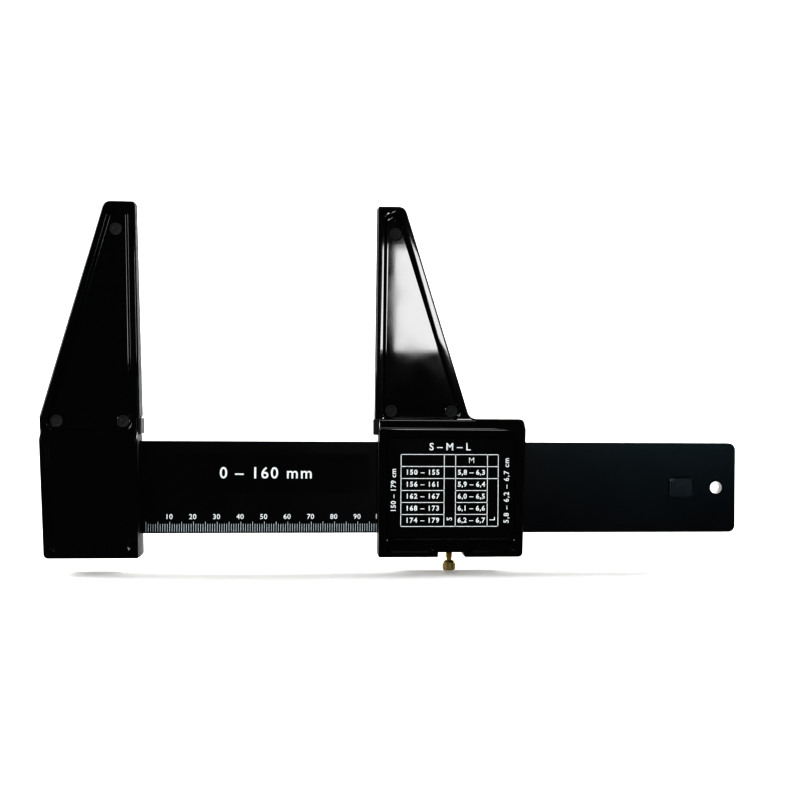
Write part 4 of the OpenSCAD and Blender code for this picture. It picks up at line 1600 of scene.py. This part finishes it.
@dataclass
class LockScrew:
    """The knurled lock screw, from its dog down to its head, in millimetres.

    Attributes:
        x: Its place along the beam.
        tip: Height of the dog's end, from the middle of the beam.
        shoulder: Height where the thread ends.
        head_top: Height of the top of the head.
        head_low: Height of the bottom of the head.
        radius: Radius over the thread.
        dog: Radius of the plain end.
        head: Radius over the knurl.
        pitch: Pitch of the thread.
        thread_depth: Depth of the thread.
        ridges: Number of ridges of the knurl.
        ridge_rise: How far they stand above the drum.
        collar: Height of the slope from the neck to the drum.
    """

    x: float
    tip: float = -21.45
    shoulder: float = -22.5
    head_top: float = -31.85
    head_low: float = -36.15
    radius: float = 1.5
    dog: float = 1.0
    head: float = 2.85
    pitch: float = 0.5
    thread_depth: float = 0.27
    ridges: int = 22
    ridge_rise: float = 0.22
    collar: float = 0.8

    TURN_STEPS = 36  # sides of the turned core
    ROWS_PER_PITCH = 6
    TIP_BEVEL = 0.15  # bevel of the dog's end
    RUN_IN = 0.3  # from the shoulder to the start of the thread
    RUN_OUT = 0.9  # from the end of the thread to the head
    NECK_SUNK = 0.02  # how far the neck lies under the root of the thread
    NECK_ROWS = (0.5, 0.1)  # heights of the neck's rows above the head
    COLLAR = (0.3, 0.35, 0.12)  # how far the collar's top stands out, its foot stands in and up
    DRUM_FOOT = 0.35  # from the bottom to the end of the drum
    FOOT_BEVEL = ((0.5, 0.05), (0.75, 0.0))  # rows of the bevel at the bottom: inwards, upwards
    RIDGE_SHARE = 0.82  # width of a ridge's foot as a share of its place
    RIDGE_CREST = 0.16  # width of its crest as a share of its foot
    RIDGE_FOOT = -0.1  # how far its foot lies inside the drum
    RIDGE_SLOPE = 0.3  # length of its sloped ends

    def make(self) -> None:
        """Builds the thread and the core, adds the knurl and dresses the piece."""
        core = as_object("lock_screw_core", self.core())
        knurl = self.knurl()
        mesh = bmesh.new()
        mesh.from_mesh(core.data)
        mesh.from_mesh(knurl.data)
        for part in (core, knurl):
            discard(part)
        made = as_object("lock_screw_turned", mesh)
        smooth_shade(made, angle=40)
        dress(made, TURNED_BRASS)
        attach(made, "lock")
        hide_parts("lock_screw")
        report(made)

    def core(self) -> bmesh.types.BMesh:
        """Turns the core: a dog, a helical thread, a neck, a shoulder and a plain drum.

        Returns:
            The closed mesh.
        """
        steps, root = self.TURN_STEPS, self.radius - self.thread_depth
        rows: list[Callable[[float], tuple[float, float]]] = []

        def plain(radius: float, z: float) -> None:
            """Adds one level row."""
            rows.append(lambda _: (radius, z))

        plain(0.0, self.tip)
        plain(self.dog - self.TIP_BEVEL, self.tip)
        plain(self.dog, self.tip - self.TIP_BEVEL)
        plain(self.dog, self.shoulder)
        plain(root, self.shoulder)
        top, low = self.shoulder - self.RUN_IN, self.head_top + self.RUN_OUT
        samples = int((top - low) / self.pitch * self.ROWS_PER_PITCH)

        def threaded(z: float) -> Callable[[float], tuple[float, float]]:
            """Makes a row of the thread, whose radius follows the helix.

            Args:
                z: Height of the row.

            Returns:
                A function from a share of a turn to the radius and the height there.
            """
            fade = max(min(1.0, (top - z) / self.pitch, (z - low) / self.pitch), 0.0)

            def at(turn: float) -> tuple[float, float]:
                """Gives radius and height at a share of a turn."""
                phase = (z / self.pitch + turn) % 1.0
                return root + self.thread_depth * fade * (1 - abs(2 * phase - 1)), z

            return at

        rows += [threaded(top - (top - low) * k / samples) for k in range(samples + 1)]
        drum_top, drum = self.head_top - self.collar, self.head - self.ridge_rise
        for rise in self.NECK_ROWS:
            plain(root - self.NECK_SUNK, self.head_top + rise)
        out, inwards, upwards = self.COLLAR
        plain(self.radius + out, self.head_top)
        plain(self.head - inwards, drum_top + upwards)
        plain(drum, drum_top)
        plain(drum, self.head_low + self.DRUM_FOOT)
        for inwards, upwards in self.FOOT_BEVEL:
            plain(self.head - inwards, self.head_low + upwards)
        plain(0.0, self.head_low)
        mesh = bmesh.new()
        ring_rows = []
        for row in rows:
            if row(0.0)[0] == 0.0:
                ring_rows.append([mesh.verts.new((mm(self.x), 0, mm(SIZES.middle + row(0.0)[1])))])
                continue
            ring = []
            for i in range(steps):
                radius, z = row(i / steps)
                angle = math.tau * i / steps
                ring.append(mesh.verts.new((mm(self.x + radius * math.cos(angle)), mm(radius * math.sin(angle)),
                                            mm(SIZES.middle + z))))
            ring_rows.append(ring)
        for upper, lower in zip(ring_rows, ring_rows[1:]):
            for i in range(steps):
                a, b = upper[i % len(upper)], upper[(i + 1) % len(upper)]
                c, d = lower[(i + 1) % len(lower)], lower[i % len(lower)]
                mesh.faces.new(list(dict.fromkeys((a, b, c, d))))
        bmesh.ops.recalc_face_normals(mesh, faces=mesh.faces)
        return mesh

    def knurl(self) -> bpy.types.Object:
        """Stands ridges round the drum with a node tree.

        Returns:
            The ridges, as one object.
        """
        ridge = as_object("knurl_ridge", self.ridge())
        tree, ports, given = new_tree("knurl", {
            "Count": "Int", "Radius": "Float", "Centre": "Vector", "Ridge": "Object"})
        circle = add_node(tree, "GeometryNodeMeshCircle", {"Vertices": given["Count"], "Radius": given["Radius"]})
        shape = add_node(tree, "GeometryNodeObjectInfo", {"Object": given["Ridge"]})
        place = add_node(tree, "GeometryNodeInputPosition")
        parts = add_node(tree, "ShaderNodeSeparateXYZ", {0: place.outputs[0]})
        angle = add_node(tree, "ShaderNodeMath", {0: parts.outputs["Y"], 1: parts.outputs["X"]}, operation="ARCTAN2")
        turn = add_node(tree, "ShaderNodeCombineXYZ", {"Z": angle.outputs[0]})
        spread = add_node(tree, "GeometryNodeInstanceOnPoints", {
            "Points": circle.outputs["Mesh"], "Instance": shape.outputs["Geometry"], "Rotation": turn.outputs[0]})
        moved = add_node(tree, "GeometryNodeTransform", {
            "Geometry": spread.outputs["Instances"], "Translation": given["Centre"]})
        close_tree(tree, moved.outputs["Geometry"], TURNED_BRASS)
        middle = (self.head_top - self.collar + self.head_low) / 2
        made = grown("knurl", tree, ports, {
            "Count": self.ridges, "Radius": mm(self.head - self.ridge_rise), "Ridge": ridge,
            "Centre": (mm(self.x), 0.0, mm(SIZES.middle + middle))})
        discard(ridge)
        return made

    def ridge(self) -> bmesh.types.BMesh:
        """Makes one ridge of the knurl: a long prism with sloped ends, its foot just inside the drum.

        Returns:
            The closed mesh.
        """
        half = (self.head_top - self.collar - self.head_low) / 2 - self.RIDGE_SLOPE
        width = math.pi * self.head / self.ridges * self.RIDGE_SHARE
        crest, rise, foot = self.RIDGE_CREST * width, self.ridge_rise, self.RIDGE_FOOT
        mesh = bmesh.new()
        ends = []
        for z, top in ((-half, -half + self.RIDGE_SLOPE), (half, half - self.RIDGE_SLOPE)):
            ends.append([mesh.verts.new((mm(x), mm(y), mm(h))) for x, y, h in (
                (foot, -width, z), (foot, width, z), (rise, crest, top), (rise, -crest, top))])
        low, high = ends
        for i in range(4):
            j = (i + 1) % 4
            mesh.faces.new((low[i], low[j], high[j], high[i]))
        mesh.faces.new(low)
        mesh.faces.new(high)
        bmesh.ops.recalc_face_normals(mesh, faces=mesh.faces)
        return mesh


@dataclass
class VarnishedField:
    """The smooth field on the beam, left bare but for the range of the scale.

    Attributes:
        left: X of its left edge.
        low: Height of its lower edge.
        width: Its width.
        height: Its height.
        face_y: Place of the beam's face.
    """

    left: float
    low: float
    width: float
    height: float
    face_y: float

    def make(self) -> None:
        """Lays the field and prints the range."""
        film = Print("varnished_field", self.face_y, film=0.012)
        film.bar(self.left, self.left + self.width, self.low, self.low + self.height)
        film.finish("frame", VARNISH, "beam_finish")
        words = Print("range_print", self.face_y)
        words.letter(
            "0 \u2013 160 mm", self.left + self.width / 2, self.low + self.height / 2, height=4.8, spread=1.2,
            bold=0.12)
        words.finish("frame", WHITE_INK, "beam_finish")


class KeptParts:
    """The CAD nodes whose shape is right: each gets its finish."""

    FINISHES = {
        "beam": ANODISED_BAR, "fixed_face_pad": FACED_ABS, "slider_face_pad": FACED_ABS,
        "fixed_jaw_screws": BLACK_STEEL, "slider_screws": BLACK_STEEL, "beam_pins": GROUND_STEEL,
        "chart_plate": PLATE_FILM, "rear_plate": PLATE_FILM,
        "upper_shoe_left": ACETAL, "upper_shoe_right": ACETAL, "lower_shoe_left": ACETAL,
        "lower_shoe_right": ACETAL, "friction_shoe": ACETAL, "leaf_spring": SPRING_STRIP,
        "lock_nut": TURNED_BRASS, "clamp_pad": TURNED_BRASS,
    }

    def make(self) -> None:
        """Dresses the nodes."""
        for name, finish in self.FINISHES.items():
            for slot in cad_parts[name].material_slots:
                slot.material = finish.material()
            LOG.info("%s: %s", name, finish.name)


WHITE = (1.0, 1.0, 1.0)
COOL = (0.45, 0.85, 1.0)  # daylight from a low window, which the bar's satin face picks up


@dataclass
class Studio:
    """Camera, floor and soft lights.

    Attributes:
        look_at: Point that the camera looks at.
        distance: Distance from the camera to that point.
        azimuth: How far the camera stands to the left, in degrees.
        roll: Turn of the camera about its own axis, in degrees.
        lens: Focal length on a 36 mm sensor.
        shift: Sideways shift of the lens, as a share of the picture's width.
        floor_z: Height of the floor.
        dim: Strength of the surroundings that light the object.
    """

    look_at: tuple[float, float, float] = (0.1275, 0.0, 0.01194)
    distance: float = 0.5532
    azimuth: float = 5.15
    roll: float = -0.40
    lens: float = 57.05
    shift: float = -0.05
    floor_z: float = -0.0628
    dim: float = 0.07

    CURVE_STEPS = 16  # steps of the paper's curve
    # Name, place, aim, width, height, power in watts, colour
    LAMPS = (
        ("key_above", (0.10, -0.75, 0.80), (0.08, 0.0, 0.03), 0.40, 0.20, 1.0, WHITE),
        ("web_softbox", (0.2225, -0.90, 0.164), (0.118, 0.0, 0.055), 0.135, 0.12, 0.68, WHITE),
        ("fill_left", (-0.75, -0.50, 0.35), (0.05, 0, 0), 0.35, 0.6, 6.0, WHITE),
        ("edge_right", (0.85, 0.25, 0.45), (0.12, 0, 0), 0.30, 0.6, 1.5, WHITE),
        ("bar_sheen", (0.48, -0.85, 0.03), (0.20, 0.0, -0.02), 0.26, 0.12, 0.14, COOL),
        ("paper_left", (-0.9, 0.35, 0.7), (0.0, 1.0, 0.0), 0.7, 0.7, 20.0, WHITE),
        ("paper_right", (1.1, 0.35, 0.7), (0.2, 1.0, 0.0), 0.7, 0.7, 20.0, WHITE),
        ("paper_far_left", (-1.1, 0.0, 0.55), (-1.1, 0.0, 0.0), 0.5, 0.5, 6.0, WHITE),
    )

    def make(self) -> None:
        """Sets up the camera, the paper sweep, the lights and the surroundings."""
        self.camera()
        self.sweep()
        for row in self.LAMPS:
            self.lamp(*row)
        self.surroundings()
        bpy.context.scene.view_settings.view_transform = "Standard"
        bpy.context.scene.view_settings.look = "High Contrast"
        LOG.info("studio: camera, paper and lamps")

    def camera(self) -> None:
        """Stands the camera up, level with the jaws and a little to the left."""
        data = bpy.data.cameras.new("camera")
        data.lens, data.sensor_width, data.shift_x = self.lens, 36.0, self.shift
        camera = bpy.data.objects.new("camera", data)
        bpy.context.scene.collection.objects.link(camera)
        a = math.radians(self.azimuth)
        camera.location = Vector(self.look_at) + self.distance * Vector((-math.sin(a), -math.cos(a), 0))
        camera.rotation_euler = (math.pi / 2, math.radians(self.roll), -a)
        data.clip_start, data.clip_end = 0.01, 20
        bpy.context.scene.camera = camera

    def surroundings(self) -> None:
        """Makes the surroundings: pale where the camera sees them, dim where they light the object."""
        world = bpy.data.worlds.new("surroundings")
        world.use_nodes = True
        tree = world.node_tree
        dim = tree.nodes["Background"]
        dim.inputs["Color"].default_value = linear("#dfe4ea")
        dim.inputs["Strength"].default_value = self.dim
        seen = add_node(tree, "ShaderNodeBackground", {"Color": linear("#f4f4f2"), "Strength": 1.0})
        ray = add_node(tree, "ShaderNodeLightPath")
        both = add_node(tree, "ShaderNodeMixShader", {
            0: ray.outputs["Is Camera Ray"], 1: dim.outputs[0], 2: seen.outputs[0]})
        tree.links.new(both.outputs[0], tree.nodes["World Output"].inputs["Surface"])
        bpy.context.scene.world = world

    def sweep(self) -> None:
        """Lays the paper: a floor that curves up behind the object.

        The strip in front of the object is kept out of its reflections, so that its faces stay black.
        """
        radius, reach, near, back, rise = 0.5, 1.3, 0.20, 1.2, 2.0
        line = [(-near, 0.0), (0.0, 0.0), (back - radius, 0.0)]
        line += [(back - radius + radius * math.sin(t), radius - radius * math.cos(t))
                 for t in (math.pi / 2 * k / self.CURVE_STEPS for k in range(1, self.CURVE_STEPS + 1))]
        line.append((back, rise))
        for name, part, mirrored in (("paper_front", line[:2], False), ("paper_sweep", line[1:], True)):
            mesh = bmesh.new()
            rows = [[mesh.verts.new((x, y, self.floor_z + z)) for x in (-reach, reach)] for y, z in part]
            for first, second in zip(rows, rows[1:]):
                mesh.faces.new((first[0], first[1], second[1], second[0])).smooth = True
            paper = as_object(name, mesh)
            dress(paper, STUDIO)
            paper.visible_glossy = mirrored

    def lamp(self, name: str, place: Sequence[float], aim: Sequence[float], width: float, height: float,
             power: float, colour: Sequence[float]) -> None:
        """Adds one softbox.

        Args:
            name: Its name.
            place: Where it stands.
            aim: Where it points.
            width: Width of its face.
            height: Height of its face.
            power: Power in watts.
            colour: Colour of its light.
        """
        data = bpy.data.lights.new(name, "AREA")
        data.color = colour
        data.shape, data.size, data.size_y, data.energy = "RECTANGLE", width, height, power
        lamp = bpy.data.objects.new(name, data)
        bpy.context.scene.collection.objects.link(lamp)
        lamp.location = place
        lamp.rotation_euler = (Vector(aim) - Vector(place)).to_track_quat("-Z", "Y").to_euler()


def main() -> None:
    """Builds the looks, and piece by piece."""
    logging.basicConfig(level=logging.INFO, format="%(name)s: %(message)s")
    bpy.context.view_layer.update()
    beam_low, plate_low, slider_low = (
        MM_PER_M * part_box(node)[0] for node in ("beam", "chart_plate", "slider_front"))
    reading_edge = slider_low.x - SLIDER_EDGE
    Studio().make()
    fixed_shells().make()
    sliding = slider_shells(reading_edge)
    sliding.make()
    EndStop().make()
    LockScrew(sliding.lock_x).make()
    KeptParts().make()
    Scale(zero_x=2.0, edge_z=beam_low.z, face_y=beam_low.y).make()
    VarnishedField(left=8.6, low=SIZES.middle - 2.6, width=88.0, height=17.0, face_y=beam_low.y).make()
    Chart(left=plate_low.x + 5.65, top=SIZES.middle + 14.5, face_y=plate_low.y).make()


if __name__ == "__main__":
    main()
